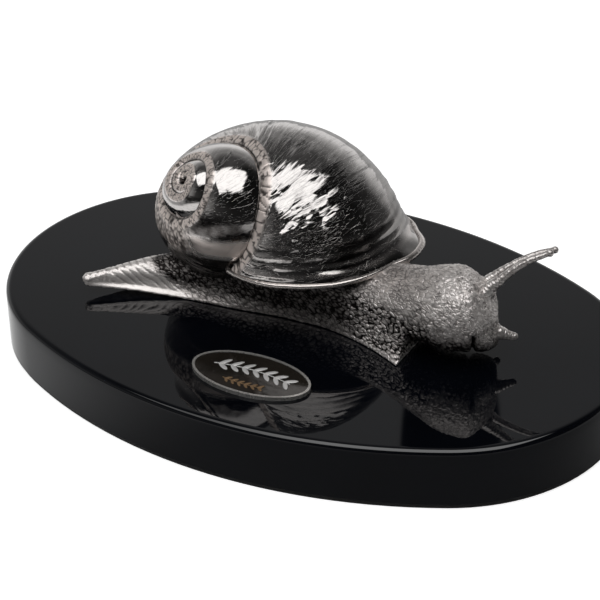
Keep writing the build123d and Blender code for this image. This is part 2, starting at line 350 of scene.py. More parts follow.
def swept_grid(name: str, rings: int, sides: int) -> Grid:
    """Sweep a circle into a closed tube that is ready to be shaped.

    Args:
        name: The piece's name.
        rings: How many rings the tube has.
        sides: How many vertices each ring has.

    Returns:
        The tube, with each vertex's ring and side numbers.
    """
    deselect()
    bpy.ops.mesh.primitive_circle_add(
        vertices=sides, radius=1.0, location=(SWEEP_CENTRE, 0.0, 0.0), rotation=(pi / 2, 0.0, 0.0)
    )
    bpy.ops.object.transform_apply(location=True, rotation=True, scale=True)
    piece = bpy.context.object
    rename(piece, name)
    bpy.ops.object.mode_set(mode="EDIT")
    bpy.ops.mesh.select_mode(type="VERT")
    bpy.ops.mesh.select_all(action="SELECT")
    bpy.ops.mesh.spin(steps=rings - 1, angle=SWEEP, center=(0.0, 0.0, 0.0), axis=(0.0, 0.0, 1.0))
    bpy.ops.mesh.select_all(action="DESELECT")
    bpy.ops.mesh.select_non_manifold()
    bpy.ops.mesh.fill_holes(sides=0)
    bpy.ops.object.mode_set(mode="OBJECT")
    at = places(piece)
    turned = np.abs(np.arctan2(at[:, 1], at[:, 0]))
    out = np.hypot(at[:, 0], at[:, 1]) - SWEEP_CENTRE
    around = np.mod(np.arctan2(at[:, 2], out), 2 * pi)
    ring = np.rint(turned / (SWEEP / (rings - 1))).astype(int)
    side = np.mod(np.rint(around / (2 * pi / sides)).astype(int), sides)
    return Grid(piece, ring, side)


@dataclass(frozen=True)
class Coil:
    """The spiral that the shell grows along, in metres and degrees.

    Each turn multiplies the section's size by growth and its drop along the axis by drop_growth. The
    section's oval leans from the axis, and the coil itself is oval by oval_share about oval_angle.
    """

    apex: tuple = (-34.0 * MM, -10.9 * MM, 60.4 * MM)
    tilt: float = 50.5
    bearing: float = -122.6
    mouth_turn: float = -29.1
    half_width: float = 20.9 * MM
    half_height: float = 29.3 * MM
    lean: float = -10.5
    mouth_drop: float = 45.3 * MM
    growth: float = 1.92
    drop_growth: float = 2.76
    oval_share: float = 0.066
    oval_angle: float = 119.6
    gap: float = 0.2 * MM

    def matrix(self) -> Matrix:
        """Place of the coil's own frame: X at the mouth's angle, Z down the axis.

        Returns:
            The matrix from the coil's frame to the object's.
        """
        tilt, bearing = radians(self.tilt), radians(self.bearing)
        out = Vector((sin(tilt) * cos(bearing), sin(tilt) * sin(bearing), cos(tilt)))
        level = Vector((0.0, 0.0, 1.0)).cross(out).normalized()
        across = Matrix.Rotation(radians(self.mouth_turn), 3, out) @ level
        down = -out
        frame_matrix = Matrix((across, down.cross(across), down)).transposed().to_4x4()
        frame_matrix.translation = Vector(self.apex)
        return frame_matrix

    def sizes(self, turn: np.ndarray) -> tuple[np.ndarray, np.ndarray, np.ndarray]:
        """Scale, ring radius and drop at growth angles.

        Args:
            turn: Growth angles in degrees.

        Returns:
            The scale, and the ring's radius and the drop along the axis in metres.
        """
        scale = self.growth ** (turn / TURN) * (
            1.0 + self.oval_share * np.cos(np.radians(2.0 * (turn - self.oval_angle)))
        )
        lean = radians(self.lean)
        reach = np.hypot(self.half_width * cos(lean), self.half_height * sin(lean))
        return scale, (reach + self.gap) * scale, self.mouth_drop * self.drop_growth ** (turn / TURN)

    def section(self, turn: np.ndarray, around: np.ndarray) -> tuple[np.ndarray, np.ndarray]:
        """Distance out from the axis and down it, for points of the coil's surface.

        Args:
            turn: Growth angles in degrees.
            around: Angles round the section in radians.

        Returns:
            The distances out and down in metres.
        """
        scale, ring, drop = self.sizes(turn)
        long_way = np.cos(around) * self.half_height * scale
        short_way = np.sin(around) * self.half_width * scale
        slant = radians(90.0 + self.lean)
        out = ring + long_way * cos(slant) - short_way * sin(slant)
        down = drop + long_way * sin(slant) + short_way * cos(slant)
        return out, down

    def surface(self, turn: np.ndarray, around: np.ndarray) -> np.ndarray:
        """Points of the coil's surface in the object's frame.

        Args:
            turn: Growth angles in degrees.
            around: Angles round the section in radians.

        Returns:
            Rows of X, Y and Z in metres.
        """
        out, down = self.section(turn, around)
        angle = np.radians(turn)
        local = np.stack([out * np.cos(angle), out * np.sin(angle), down], axis=1)
        rows = np.array(self.matrix())
        return local @ rows[:3, :3].T + rows[:3, 3]

    def gap_to(self, turn: np.ndarray, around: np.ndarray, shift: float) -> np.ndarray:
        """How far points of the surface stand off the whorl that is a shift away along the coil.

        Args:
            turn: Growth angles in degrees.
            around: Angles round the section in radians.
            shift: The other whorl's distance along the coil in degrees.

        Returns:
            The distances in metres, below nought inside the other whorl.
        """
        out, down = self.section(turn, around)
        scale, ring, drop = self.sizes(turn + shift)
        slant = radians(90.0 + self.lean)
        long_way = (out - ring) * cos(slant) + (down - drop) * sin(slant)
        short_way = -(out - ring) * sin(slant) + (down - drop) * cos(slant)
        share = np.hypot(long_way / (self.half_height * scale), short_way / (self.half_width * scale))
        return np.hypot(long_way, short_way) * (1.0 - 1.0 / np.maximum(share, 0.05))


@dataclass(frozen=True)
class SilverFinish:
    """Darkened silver: polished high spots over a black patina.

    Wear comes from the vertices' notes when their flag is set; on the body these notes also hold painted
    shade. Each of the wrinkles is the direction of one axis of a cell pattern, whose borders darken the skin
    by wrinkled.
    """

    name: str
    bright: tuple = (0.80, 0.76, 0.73)
    middle: tuple = (0.36, 0.33, 0.31)
    dark: tuple = (0.018, 0.015, 0.014)
    smooth: float = 0.16
    rough: float = 0.48
    grain: float = 900.0
    bump: float = 0.25
    metallic: float = 1.0
    frosted: float = 1.0
    worn_and_painted_light: bool = True
    wrinkles: tuple = ()
    wrinkled: float = 0.0
    cloud_scale: float = 180.0
    cloud_share: float = 0.35
    grain_share: float = 0.22
    pit_scale: float = 1150.0
    pit_edge: tuple = (0.36, 0.50)
    crack_edge: tuple = (0.02, 0.22)
    crack_depth: float = 0.28 * MM
    grain_depth: float = 0.12 * MM
    sway: tuple = (160.0, 1.2 * MM)
    colour_stops: tuple = (0.10, 0.48, 0.92)

    def material(self) -> bpy.types.Material:
        """Build the node material.

        Returns:
            The material.
        """
        nodes = Nodes(self.name)
        cloud = nodes.noise(self.cloud_scale, 6.0, 0.6)
        fine = nodes.noise(self.grain, 4.0, 0.6)
        # On the body, the vertices' notes hold painted shade as well as wear
        if self.worn_and_painted_light:
            wear_and_painted_light = nodes.attribute(Trait.WEAR)
        else:
            wear_and_painted_light = nodes.total((nodes.noise(320.0, 5.0, 0.65), 0.9), (cloud, 0.3))
        mottled = nodes.total((wear_and_painted_light, 1.0), (nodes.math("SUBTRACT", cloud, 0.5), self.cloud_share))
        mottled = nodes.total((mottled, 1.0), (nodes.math("SUBTRACT", fine, 0.5), self.grain_share))
        if self.wrinkles:
            place = nodes.vectors("ADD", nodes.coordinates.outputs["Object"], nodes.sway(*self.sway))
            turned = nodes.vector(*(nodes.vectors("DOT_PRODUCT", place, way) for way in self.wrinkles))
            crack = nodes.span(nodes.cracks(turned), *self.crack_edge, 1.0, 0.0)
            crack = nodes.math("MULTIPLY", crack, nodes.attribute(Trait.WRINKLE))
            pits = nodes.noise(self.pit_scale, 3.0, 0.6, source=place)
            pits = nodes.span(pits, *self.pit_edge, 1.0, 0.0)
            crack = nodes.math("MAXIMUM", crack, nodes.math("MULTIPLY", pits, nodes.attribute(Trait.PITS)))
            mottled = nodes.total((mottled, 1.0), (crack, -self.wrinkled))
            nodes.bump(nodes.math("SUBTRACT", 1.0, crack), 0.75, self.crack_depth)
        colours = zip(self.colour_stops, (self.dark, self.middle, self.bright))
        nodes.set("Base Color", nodes.ramp(mottled, tuple(colours)))
        nodes.set("Roughness", nodes.mix(nodes.span(mottled, 0.0, 1.0), self.rough, self.smooth))
        frosted = self.frosted * self.metallic
        nodes.set("Metallic", nodes.span(mottled, 0.35, 1.0, self.metallic, frosted))
        nodes.bump(fine, self.bump, self.grain_depth)
        return nodes.material


@dataclass(frozen=True)
class ShellFinish:
    """Polished dark silver with fine growth lines, chips and a light matt seam. Its colour also holds painted
    shade, painted dark reflections and a pale matt crescent of painted floor reflection.

    The stretches scale the patterns along and across the growth lines.
    """

    name: str
    polished: tuple = (0.60, 0.575, 0.56)
    patina: tuple = (0.03, 0.025, 0.023)
    matt: tuple = (0.90, 0.80, 0.745)
    line_stretch: tuple = (0.55, 0.075, 1.0)
    hair_stretch: tuple = (2.4, 0.30, 1.0)
    facet_stretch: tuple = (0.40, 0.30, 1.0)
    small_facets: float = 2.3
    line_depth: float = 0.12 * MM
    chip_depth: float = 0.62 * MM
    hair_depth: float = 0.04 * MM

    def material(self) -> bpy.types.Material:
        """Build the node material on the shell's own growth coordinates.

        Returns:
            The material.
        """
        nodes = Nodes(self.name)
        grown = nodes.vector(nodes.attribute(Trait.ALONG), nodes.attribute(Trait.ACROSS), 0.0)
        # The wear notes also hold painted shade and painted dark reflections; the band notes also hold a
        # painted pale reflection
        wear_and_painted_light, band, chips = (nodes.attribute(trait) for trait in (Trait.WEAR, Trait.BAND, Trait.CHIPS))
        drift = nodes.noise(0.09, 2.0, 0.5, source=grown)
        lines = nodes.noise(1.0, 5.0, 0.6, stretch=self.line_stretch, source=grown, bend=0.5)
        hair = nodes.noise(1.0, 3.0, 0.7, stretch=self.hair_stretch, source=grown)
        facets = nodes.facets(grown, self.facet_stretch)
        small = nodes.facets(grown, tuple(self.small_facets * part for part in self.facet_stretch))
        chipped = nodes.math("MULTIPLY", nodes.span(drift, 0.38, 0.60, 0.25, 1.0), chips)
        cloud = nodes.noise(260.0, 5.0, 0.6)
        tone = nodes.span(nodes.total((lines, 0.45), (hair, 0.30), (cloud, 0.25)), 0.33, 0.53)
        tone = nodes.mix(chips, 1.0, tone)
        cleaned = nodes.span(nodes.total((wear_and_painted_light, 1.0), (cloud, 0.25)), 0.30, 0.70)
        tone = nodes.math("MULTIPLY", tone, cleaned)
        middle = tuple(0.72 * part for part in self.polished)
        colour = nodes.ramp(tone, ((0.0, self.patina), (0.5, middle), (1.0, self.polished)))
        worn_and_painted_light = nodes.total((wear_and_painted_light, 0.95), (cloud, 0.25))
        grey = tuple(0.5 * part for part in self.matt)
        pale = nodes.ramp(worn_and_painted_light, ((0.18, self.patina), (0.42, grey), (0.78, self.matt)))
        nodes.set("Base Color", nodes.mix_colours(band, colour, pale))
        gloss = nodes.total((nodes.span(tone, 0.0, 1.0, 0.13, 0.05), 1.0), (cloud, 0.03))
        nodes.set("Roughness", nodes.mix(band, gloss, 0.44))
        nodes.set("Metallic", nodes.math("SUBTRACT", 1.0, nodes.math("MULTIPLY", band, 0.3)))
        lined = nodes.math("MULTIPLY", lines, nodes.total((chips, 0.75), (1.0, 0.25)))
        nodes.bump(lined, 0.32, self.line_depth)
        crumpled = nodes.math("MULTIPLY", nodes.total((facets, 1.0), (small, 0.35)), chipped)
        nodes.bump(crumpled, 0.95, self.chip_depth)
        nodes.bump(nodes.math("MULTIPLY", hair, chips), 0.25, self.hair_depth)
        return nodes.material


@dataclass(frozen=True)
class LacquerFinish:
    """Black lacquer with a mirror gloss on top and a duller wall."""

    name: str
    colour: tuple = (0.0013, 0.0017, 0.0030)
    roughness: float = 0.015
    walled: bool = False
    gloss_level: float = 0.5
    wall_drop: float = 0.34

    def material(self) -> bpy.types.Material:
        """Build the node material.

        Returns:
            The material.
        """
        nodes = Nodes(self.name)
        cloud = nodes.noise(35.0, 3.0, 0.5)
        lighter = tuple(1.8 * part for part in self.colour)
        nodes.set("Base Color", nodes.ramp(cloud, ((0.3, self.colour), (0.7, lighter))))
        nodes.set("Roughness", nodes.total((cloud, 0.012), (1.0, self.roughness)))
        nodes.set("IOR", 1.5)
        if self.walled:
            level = nodes.total((nodes.attribute(Trait.WALL), -self.wall_drop), (1.0, self.gloss_level))
            nodes.set("Specular IOR Level", level)
        nodes.bump(nodes.noise(60.0, 2.0, 0.5), 0.015, 0.05 * MM)
        return nodes.material


@dataclass(frozen=True)
class FeltFinish:
    """Black felt."""

    name: str
    colour: tuple = (0.012, 0.012, 0.012)

    def material(self) -> bpy.types.Material:
        """Build the node material.

        Returns:
            The material.
        """
        nodes = Nodes(self.name)
        fibre = nodes.noise(2400.0, 6.0, 0.75)
        lighter = tuple(3.0 * part for part in self.colour)
        nodes.set("Base Color", nodes.ramp(fibre, ((0.35, self.colour), (0.75, lighter))))
        nodes.set("Roughness", 0.95)
        nodes.set("Sheen Weight", 0.25)
        nodes.bump(fibre, 0.8, 0.2 * MM)
        return nodes.material


@dataclass(frozen=True)
class TurnedFinish:
    """Turned metal with fine rings round a vertical axis."""

    name: str
    colour: tuple
    roughness: float = 0.3

    def material(self) -> bpy.types.Material:
        """Build the node material.

        Returns:
            The material.
        """
        nodes = Nodes(self.name)
        streak = nodes.noise(700.0, 3.0, 0.6, (1.0, 1.0, 14.0))
        darker = tuple(0.6 * part for part in self.colour)
        nodes.set("Base Color", nodes.ramp(streak, ((0.25, darker), (0.75, self.colour))))
        nodes.set("Roughness", nodes.total((streak, 0.2), (1.0, self.roughness - 0.1)))
        nodes.set("Metallic", 1.0)
        nodes.bump(streak, 0.2, 0.05 * MM)
        return nodes.material


class Wiring:
    """Short ways to wire a node tree."""

    def __init__(self, tree: bpy.types.NodeTree) -> None:
        """Take a tree and start it with texture coordinates."""
        self.tree = tree
        self.coordinates = tree.nodes.new("ShaderNodeTexCoord")

    def feed(self, socket: Socket, value: Value) -> None:
        """Put a number or another node's output into a socket.

        Args:
            socket: The input socket.
            value: A number, a tuple of numbers or an output socket.
        """
        if isinstance(value, (int, float, tuple)):
            socket.default_value = value
        else:
            self.tree.links.new(value, socket)

    def texture(
        self, kind: str, source: Socket | None, stretch: tuple | None, **values: float
    ) -> bpy.types.Node:
        """A texture node on a source, which is stretched first if wanted.

        Args:
            kind: Blender's name of the node type.
            source: A vector socket, or None for Object coordinates.
            stretch: Scales along the three axes, or None.
            values: Numbers for the node's inputs.

        Returns:
            The texture node.
        """
        node = self.tree.nodes.new(kind)
        for name, value in values.items():
            node.inputs[name].default_value = value
        source = source or self.coordinates.outputs["Object"]
        if stretch:
            mapping = self.tree.nodes.new("ShaderNodeMapping")
            mapping.inputs["Scale"].default_value = stretch
            self.tree.links.new(source, mapping.inputs["Vector"])
            source = mapping.outputs["Vector"]
        self.tree.links.new(source, node.inputs["Vector"])
        return node

    def noise(
        self,
        scale: float,
        detail: float,
        roughness: float,
        stretch: tuple | None = None,
        source: Socket | None = None,
        bend: float = 0.0,
    ) -> Socket:
        """A noise texture's value.

        Args:
            scale: How many features fit a metre, or a unit of the source.
            detail: How many finer layers are added.
            roughness: How strong the finer layers are.
            stretch: Scales along the three axes, or None.
            source: A vector socket, or None for Object coordinates.
            bend: How much the noise bends itself.

        Returns:
            The value's socket, about 0.5 in the middle.
        """
        values = {"Scale": scale, "Detail": detail, "Roughness": roughness, "Distortion": bend}
        return self.texture("ShaderNodeTexNoise", source, stretch, **values).outputs["Fac"]

    def cracks(self, source: Socket) -> Socket:
        """Distance to the borders of a cell pattern, for places in cell sizes.

        Args:
            source: The vector socket that gives the place.

        Returns:
            The distance socket.
        """
        node = self.texture("ShaderNodeTexVoronoi", source, None, Scale=1.0)
        node.feature = "DISTANCE_TO_EDGE"
        return node.outputs["Distance"]

    def vectors(self, operation: str, first: Value, second: Value) -> Socket:
        """One vector math node on sockets or vectors.

        Args:
            operation: Blender's name of the step.
            first: A socket or vector.
            second: A socket or vector.

        Returns:
            The result's socket, a number's for a dot product.
        """
        node = self.tree.nodes.new("ShaderNodeVectorMath")
        node.operation = operation
        self.feed(node.inputs[0], first)
        self.feed(node.inputs[1], second)
        return node.outputs["Value" if operation == "DOT_PRODUCT" else "Vector"]

    def sway(self, scale: float, reach: float) -> Socket:
        """A small smooth shift that bends a pattern.

        Args:
            scale: How many bends fit a metre.
            reach: The furthest shift in metres.

        Returns:
            A vector socket.
        """
        node = self.texture("ShaderNodeTexNoise", None, None, Scale=scale, Detail=2.0)
        centred = self.vectors("SUBTRACT", node.outputs["Color"], (0.5, 0.5, 0.5))
        return self.vectors("MULTIPLY", centred, (2.0 * reach, 2.0 * reach, 2.0 * reach))

    def facets(self, source: Socket, stretch: tuple) -> Socket:
        """Heights of flat facets that tilt at random, as on crumpled foil.

        Args:
            source: The vector socket that gives the place.
            stretch: Facets to a unit along the three axes.

        Returns:
            The height's socket.
        """
        spread = self.vectors("MULTIPLY", source, stretch)
        cell = self.texture("ShaderNodeTexVoronoi", spread, None, Scale=1.0)
        local = self.vectors("SUBTRACT", spread, cell.outputs["Position"])
        tilt = self.vectors("SUBTRACT", cell.outputs["Color"], (0.5, 0.5, 0.5))
        return self.vectors("DOT_PRODUCT", local, tilt)

    def attribute(self, trait: Trait) -> Socket:
        """What the vertices note.

        Args:
            trait: The noted number to read.

        Returns:
            The number's socket.
        """
        node = self.tree.nodes.new("ShaderNodeAttribute")
        node.attribute_name = trait.value
        return node.outputs["Fac"]

    def vector(self, *parts: Value) -> Socket:
        """A vector of three numbers or sockets.

        Args:
            parts: The numbers or sockets.

        Returns:
            The vector's socket.
        """
        node = self.tree.nodes.new("ShaderNodeCombineXYZ")
        for slot, value in enumerate(parts):
            self.feed(node.inputs[slot], value)
        return node.outputs[0]

    def math(self, operation: str, first: Value, second: Value = 0.0) -> Socket:
        """One math step on sockets or numbers.

        Args:
            operation: Blender's name of the step.
            first: A socket or number.
            second: A socket or number.

        Returns:
            The result's socket.
        """
        node = self.tree.nodes.new("ShaderNodeMath")
        node.operation = operation
        self.feed(node.inputs[0], first)
        self.feed(node.inputs[1], second)
        return node.outputs[0]

    def total(self, *parts: tuple[Value, float]) -> Socket:
        """A sum of pairs of a socket and its weight.

        Args:
            parts: Pairs of a socket or number and its weight.

        Returns:
            The sum's socket.
        """
        result = 0.0
        for source, weight in parts:
            result = self.math("ADD", self.math("MULTIPLY", source, weight), result)
        return result

    def span(
        self, source: Value, low: float, high: float, first: float = 0.0, last: float = 1.0
    ) -> Socket:
        """A smooth step of a value from low to high.

        Args:
            source: The value's socket.
            low: Where the step starts.
            high: Where it ends.
            first: The result below the step.
            last: The result above it.

        Returns:
            The result's socket.
        """
        node = self.tree.nodes.new("ShaderNodeMapRange")
        node.interpolation_type = "SMOOTHSTEP"
        self.feed(node.inputs["Value"], source)
        for name, value in (("From Min", low), ("From Max", high), ("To Min", first), ("To Max", last)):
            node.inputs[name].default_value = value
        return node.outputs["Result"]

    def mix(self, share: Value, first: Value, second: Value) -> Socket:
        """Two numbers mixed by a share.

        Args:
            share: The second number's share.
            first: A socket or number.
            second: A socket or number.

        Returns:
            The result's socket.
        """
        node = self.tree.nodes.new("ShaderNodeMix")
        self.feed(node.inputs["Factor"], share)
        self.feed(node.inputs["A"], first)
        self.feed(node.inputs["B"], second)
        return node.outputs["Result"]

    def mix_colours(self, share: Socket, first: Socket, second: Socket) -> Socket:
        """Two colours mixed by a share.

        Args:
            share: The second colour's share.
            first: The colour socket at nought.
            second: The colour socket at one.

        Returns:
            The mixed colour's socket.
        """
        node = self.tree.nodes.new("ShaderNodeMix")
        node.data_type = "RGBA"
        inputs = {socket.identifier: socket for socket in node.inputs}
        for name, value in (("Factor_Float", share), ("A_Color", first), ("B_Color", second)):
            self.tree.links.new(value, inputs[name])
        return next(socket for socket in node.outputs if socket.identifier == "Result_Color")

    def ramp(self, source: Socket, stops: tuple) -> Socket:
        """A colour ramp with stops of place and colour.

        Args:
            source: The socket that picks the place.
            stops: Pairs of a place and a colour, or a grey level.

        Returns:
            The colour's socket.
        """
        node = self.tree.nodes.new("ShaderNodeValToRGB")
        elements = node.color_ramp.elements
        while len(elements) < len(stops):
            elements.new(0.5)
        for element, (place, colour) in zip(elements, stops):
            element.position = place
            shade = colour if isinstance(colour, tuple) else (colour, colour, colour)
            element.color = (*shade, 1.0)
        self.tree.links.new(source, node.inputs["Fac"])
        return node.outputs["Color"]


class Nodes(Wiring):
    """The wiring of a Principled material."""

    def __init__(self, name: str) -> None:
        """Start a material with its shader.

        Args:
            name: The material's name.
        """
        self.material = bpy.data.materials.new(name)
        self.material.use_nodes = True
        super().__init__(self.material.node_tree)
        self.shader = self.tree.nodes["Principled BSDF"]
        self.normal = None

    def set(self, name: str, value: Value) -> None:
        """Give one of the shader's inputs a value or a socket."""
        self.feed(self.shader.inputs[name], value)

    def bump(self, height: Socket, strength: float, distance: float) -> None:
        """Give the shader a bump from a height, on top of an earlier one.

        Args:
            height: The height's socket.
            strength: How strong the bump is, from 0 to 1.
            distance: What a height of one stands for, in metres.
        """
        node = self.tree.nodes.new("ShaderNodeBump")
        node.inputs["Strength"].default_value = strength
        node.inputs["Distance"].default_value = distance
        self.tree.links.new(height, node.inputs["Height"])
        if self.normal:
            self.tree.links.new(self.normal, node.inputs["Normal"])
        self.normal = node.outputs["Normal"]
        self.tree.links.new(self.normal, self.shader.inputs["Normal"])


@dataclass
class Shell:
    """The spiral shell, with its whorls, seams, growth lines and lip.

    Turns are growth angles in degrees along the coil, and rises are heights in millimetres. Two of them are
    where something starts to come in and where it is fully there, or starts to go and is gone. Four of them
    make a window: it opens between the first two and closes between the last two. A side stop gives a share
    of a section's vertices and the angle that they have reached there. A ridge gives its place over the lip,
    its height and its half width, in millimetres.
    """

    coil: Coil = field(default_factory=Coil)
    finish: ShellFinish = ShellFinish("shell_silver")
    late_first: float = -180.0
    late_last: float = 60.0
    early_first: float = -1300.0
    late_rings: int = 380
    late_sides: int = 124
    early_rings: int = 440
    early_sides: int = 88
    side_stops: tuple = ((0.0, 0.0), (0.16, 150.0), (0.42, 208.0), (1.0, 360.0))
    lip_z: float = 36.5 * MM
    lip_rise: float = 4.0
    lip_start_x: float = -17.0 * MM
    rear_seat_z: float = 23.2 * MM
    band_width: float = 3.7 * MM
    band_height: float = 0.4 * MM
    tile_turn: float = 7.0
    tile_share: float = 0.62
    tile_drift: float = 0.25
    tile_drift_size: float = 2.5
    ridges: tuple = (
        (2.6, 0.62, 0.62),
        (5.0, 0.42, 0.50),
        (7.8, 0.30, 0.60),
        (10.8, 0.24, 0.7),
        (14.8, 0.16, 0.8),
    )
    ridge_turns: tuple = (-175.0, -150.0)
    ridge_wobble: float = 0.5
    ridge_wobble_size: float = 9.0
    ridge_break_size: float = 6.0
    young_turns: tuple = (-400.0, -300.0)
    rough_turns: tuple = (-345.0, -315.0, -250.0, -215.0)
    rough_off: tuple = (9.0 * MM, 13.0 * MM)
    rough_rise: tuple = (38.5, 42.0)
    rough_height: float = 0.28 * MM
    lower_turns: tuple = (-395.0, -380.0, -250.0, -215.0)
    painted_reflection_turns: tuple = (-310.0, -285.0)
    painted_reflection_rise: tuple = (40.8, 42.6, 46.0, 49.0)
    painted_dark_reflection_rise: tuple = (45.5, 48.0, 53.0, 59.0)
    painted_shade_under_rise: tuple = (39.6, 41.6)
    right_x: tuple = (9.0 * MM, 17.0 * MM)
    right_end_x: tuple = (18.0 * MM, 24.0 * MM)
    right_rise: tuple = (58.0, 64.0)
    growth_length: float = 450.0
    growth_width: float = 26.0
    patch_sizes: tuple = (14.0, 9.0)
    wave_sizes: tuple = (3.4, 30.0)
    dent_sizes: tuple = (2.6, 4.5)
    streak_sizes: tuple = (5.0, 1.1)
    wave_high: float = 0.09
    dent_high: float = 0.08
    pebble_size: float = 1.5
    old_chips: float = 0.14
    flare_height: float = 7.0 * MM
    flare_side: float = 0.8 * MM
    flare_front: float = 3.2 * MM
    flare_tip: float = 3.2 * MM
    flare_x: tuple = (0.0, 22.0 * MM)
    tip_x: tuple = (14.0 * MM, 22.0 * MM)
    tip_y: tuple = (4.0 * MM, 12.0 * MM, 17.0 * MM, 25.0 * MM)
    tip_share: float = 0.55
    bead_radius: float = 0.8 * MM
    bead_front: float = 1.55
    bead_front_x: tuple = (20.0 * MM, 34.0 * MM)
    edge_sides: int = 73
    edge_turns: int = 121
    edge_spread: int = 9

    def lip_height(self, points: np.ndarray) -> np.ndarray:
        """Height of points over the lip's plane."""
        rise = tan(radians(self.lip_rise))
        return points[:, 2] - self.lip_z - (points[:, 0] - self.lip_start_x) * rise

    def growth_angle(self, turn: np.ndarray, around: np.ndarray) -> np.ndarray:
        """Growth angle measured back from the lip, so that its lines run beside the lip.

        Args:
            turn: Growth angles in degrees.
            around: Angles round the section in radians.

        Returns:
            For each point, how many degrees of growth it lies from the lip.
        """
        sides = np.linspace(0.0, 2 * pi, self.edge_sides)
        turns = np.linspace(self.late_first, self.late_last, self.edge_turns)
        edge = np.empty(len(sides))
        for number, side in enumerate(sides):
            height = self.lip_height(self.coil.surface(turns, np.full(len(turns), side)))
            above = np.nonzero(height > 0.0)[0]
            edge[number] = turns[above[-1]] if len(above) else self.late_first
        size = self.edge_spread
        spread = np.ones(size) / size
        ring = np.concatenate([edge[-size:-1], edge, edge[1:size]])
        edge = np.convolve(ring, spread, mode="same")[size - 1 : 1 - size]
        return turn - np.interp(np.mod(around, 2 * pi), sides, edge)

    def seam(self, turn: np.ndarray, off: np.ndarray, plain: np.ndarray) -> tuple[np.ndarray, np.ndarray]:
        """The raised band along the seam between two whorls, and the blocks that it is broken into.

        Args:
            turn: Growth angles in degrees.
            off: How far the points stand off the whorl before, in metres.
            plain: The points.

        Returns:
            The band's share at each point, and how far inside a block the point is, both from 0 to 1.
        """
        scale = self.coil.sizes(turn)[0]
        width = self.band_width * np.minimum(1.0, 0.35 + 0.75 * scale)
        band = window(off, (0.05 * MM, 0.5 * MM, 0.82 * width, width))
        tile = self.tile_share * width
        tiles = np.stack([turn / self.tile_turn, off / tile, np.zeros(len(turn))], axis=1)
        tiles = tiles + self.tile_drift * drift_noise(plain / MM / self.tile_drift_size, Seed.TILE_DRIFT)
        return band, step(cell_gaps(tiles, Seed.TILES), 0.03, 0.20)

    def ridge_heights(self, turn: np.ndarray, plain: np.ndarray) -> np.ndarray:
        """The broken ridges that run beside the lip.

        Args:
            turn: Growth angles in degrees.
            plain: The points.

        Returns:
            The ridges' heights in millimetres.
        """
        over = self.lip_height(plain) / MM
        wobble = self.ridge_wobble * soft_noise(plain / MM / self.ridge_wobble_size, Seed.LIP_WOBBLE)
        heights = np.zeros(len(turn))
        for place, tall, half in self.ridges:
            broken = 0.6 + 0.4 * soft_noise(plain / MM / self.ridge_break_size, place)
            heights += tall * broken * bump_at(over + wobble, place, half)
        return heights * step(turn, *self.ridge_turns)

    def relief(self, turn: np.ndarray, around: np.ndarray) -> tuple[np.ndarray, dict[Trait, np.ndarray]]:
        """The worked surface over the plain coil.

        Args:
            turn: Growth angles in degrees.
            around: Angles round the section in radians.

        Returns:
            Each point's height over the plain surface in metres, and what its vertex notes for the finish.
        """
        scale = self.coil.sizes(turn)[0]
        plain = self.coil.surface(turn, around)
        high = plain[:, 2] / MM
        over = self.lip_height(plain) / MM
        along = self.growth_length * self.coil.growth ** (self.growth_angle(turn, around) / TURN)
        across = around * self.growth_width * scale
        off = self.coil.gap_to(turn, around, -TURN)
        band, blocks = self.seam(turn, off, plain)
        ridges = self.ridge_heights(turn, plain)

        def lined(length: float, width: float, seed: Seed) -> np.ndarray:
            """Noise drawn out along and across the growth lines."""
            return soft_noise(np.stack([along / length, across / width, np.zeros(len(turn))], axis=1), seed)

        patch = lined(*self.patch_sizes, Seed.PATCHES)
        waves = lined(*self.wave_sizes, Seed.WAVES)
        dents = lined(*self.dent_sizes, Seed.DENTS)
        young = step(turn, *self.young_turns)
        height = self.wave_high * waves + self.dent_high * dents * step(patch, -0.4, 0.5)
        height = height * MM * (0.1 + 0.9 * young)
        height = (height + ridges * MM) * (1.0 - band)
        height += band * (self.band_height * (0.5 + 0.5 * blocks)) * (0.4 + 0.6 * scale)
        rough = window(turn, self.rough_turns)
        rough *= (1.0 - step(off, *self.rough_off)) * (1.0 - band) * step(high, *self.rough_rise)
        pebble = step(cell_gaps(plain / MM / self.pebble_size, Seed.SHELL_PEBBLES), 0.03, 0.40)
        height += rough * self.rough_height * (pebble - 0.4)

        # The lower part of the last whorl, where reflections and shade are painted into the colour
        lower = window(turn, self.lower_turns) * (1.0 - band) * (1.0 - rough)
        # A pale matt crescent that is a painted reflection of the pale floor
        painted_reflection = lower * window(high, self.painted_reflection_rise) * (1.0 - step(turn, *self.painted_reflection_turns))
        streaks = lined(*self.streak_sizes, Seed.STREAKS)
        before_ridges = 1.0 - step(turn, *self.ridge_turns)
        calm = np.clip(step(over, 9.0, 14.0) + before_ridges * (over < 14.0), 0.0, 1.0)
        wear_and_painted_light = 0.66 + 0.12 * patch + 0.9 * ridges - 0.25 * (1.0 - calm)
        wear_and_painted_light = blend(wear_and_painted_light, 0.10 + 0.86 * blocks, band)
        wear_and_painted_light = blend(wear_and_painted_light, 0.10 + 0.56 * pebble, rough)
        # Painted dark reflection in a band above the crescent
        wear_and_painted_light *= 1.0 - 0.62 * lower * window(high, self.painted_dark_reflection_rise)
        # Painted reflection: the crescent is made pale
        wear_and_painted_light = blend(wear_and_painted_light, 0.84 + 0.34 * streaks + 0.1 * patch, painted_reflection)
        # Painted shade on the underside of the last whorl
        wear_and_painted_light *= 1.0 - 0.75 * lower * (1.0 - step(high, *self.painted_shade_under_rise))
        # Painted shadow in the seam where a whorl sinks into the one before
        wear_and_painted_light *= 0.2 + 0.8 * step(off, -0.1 * MM, 0.5 * MM)
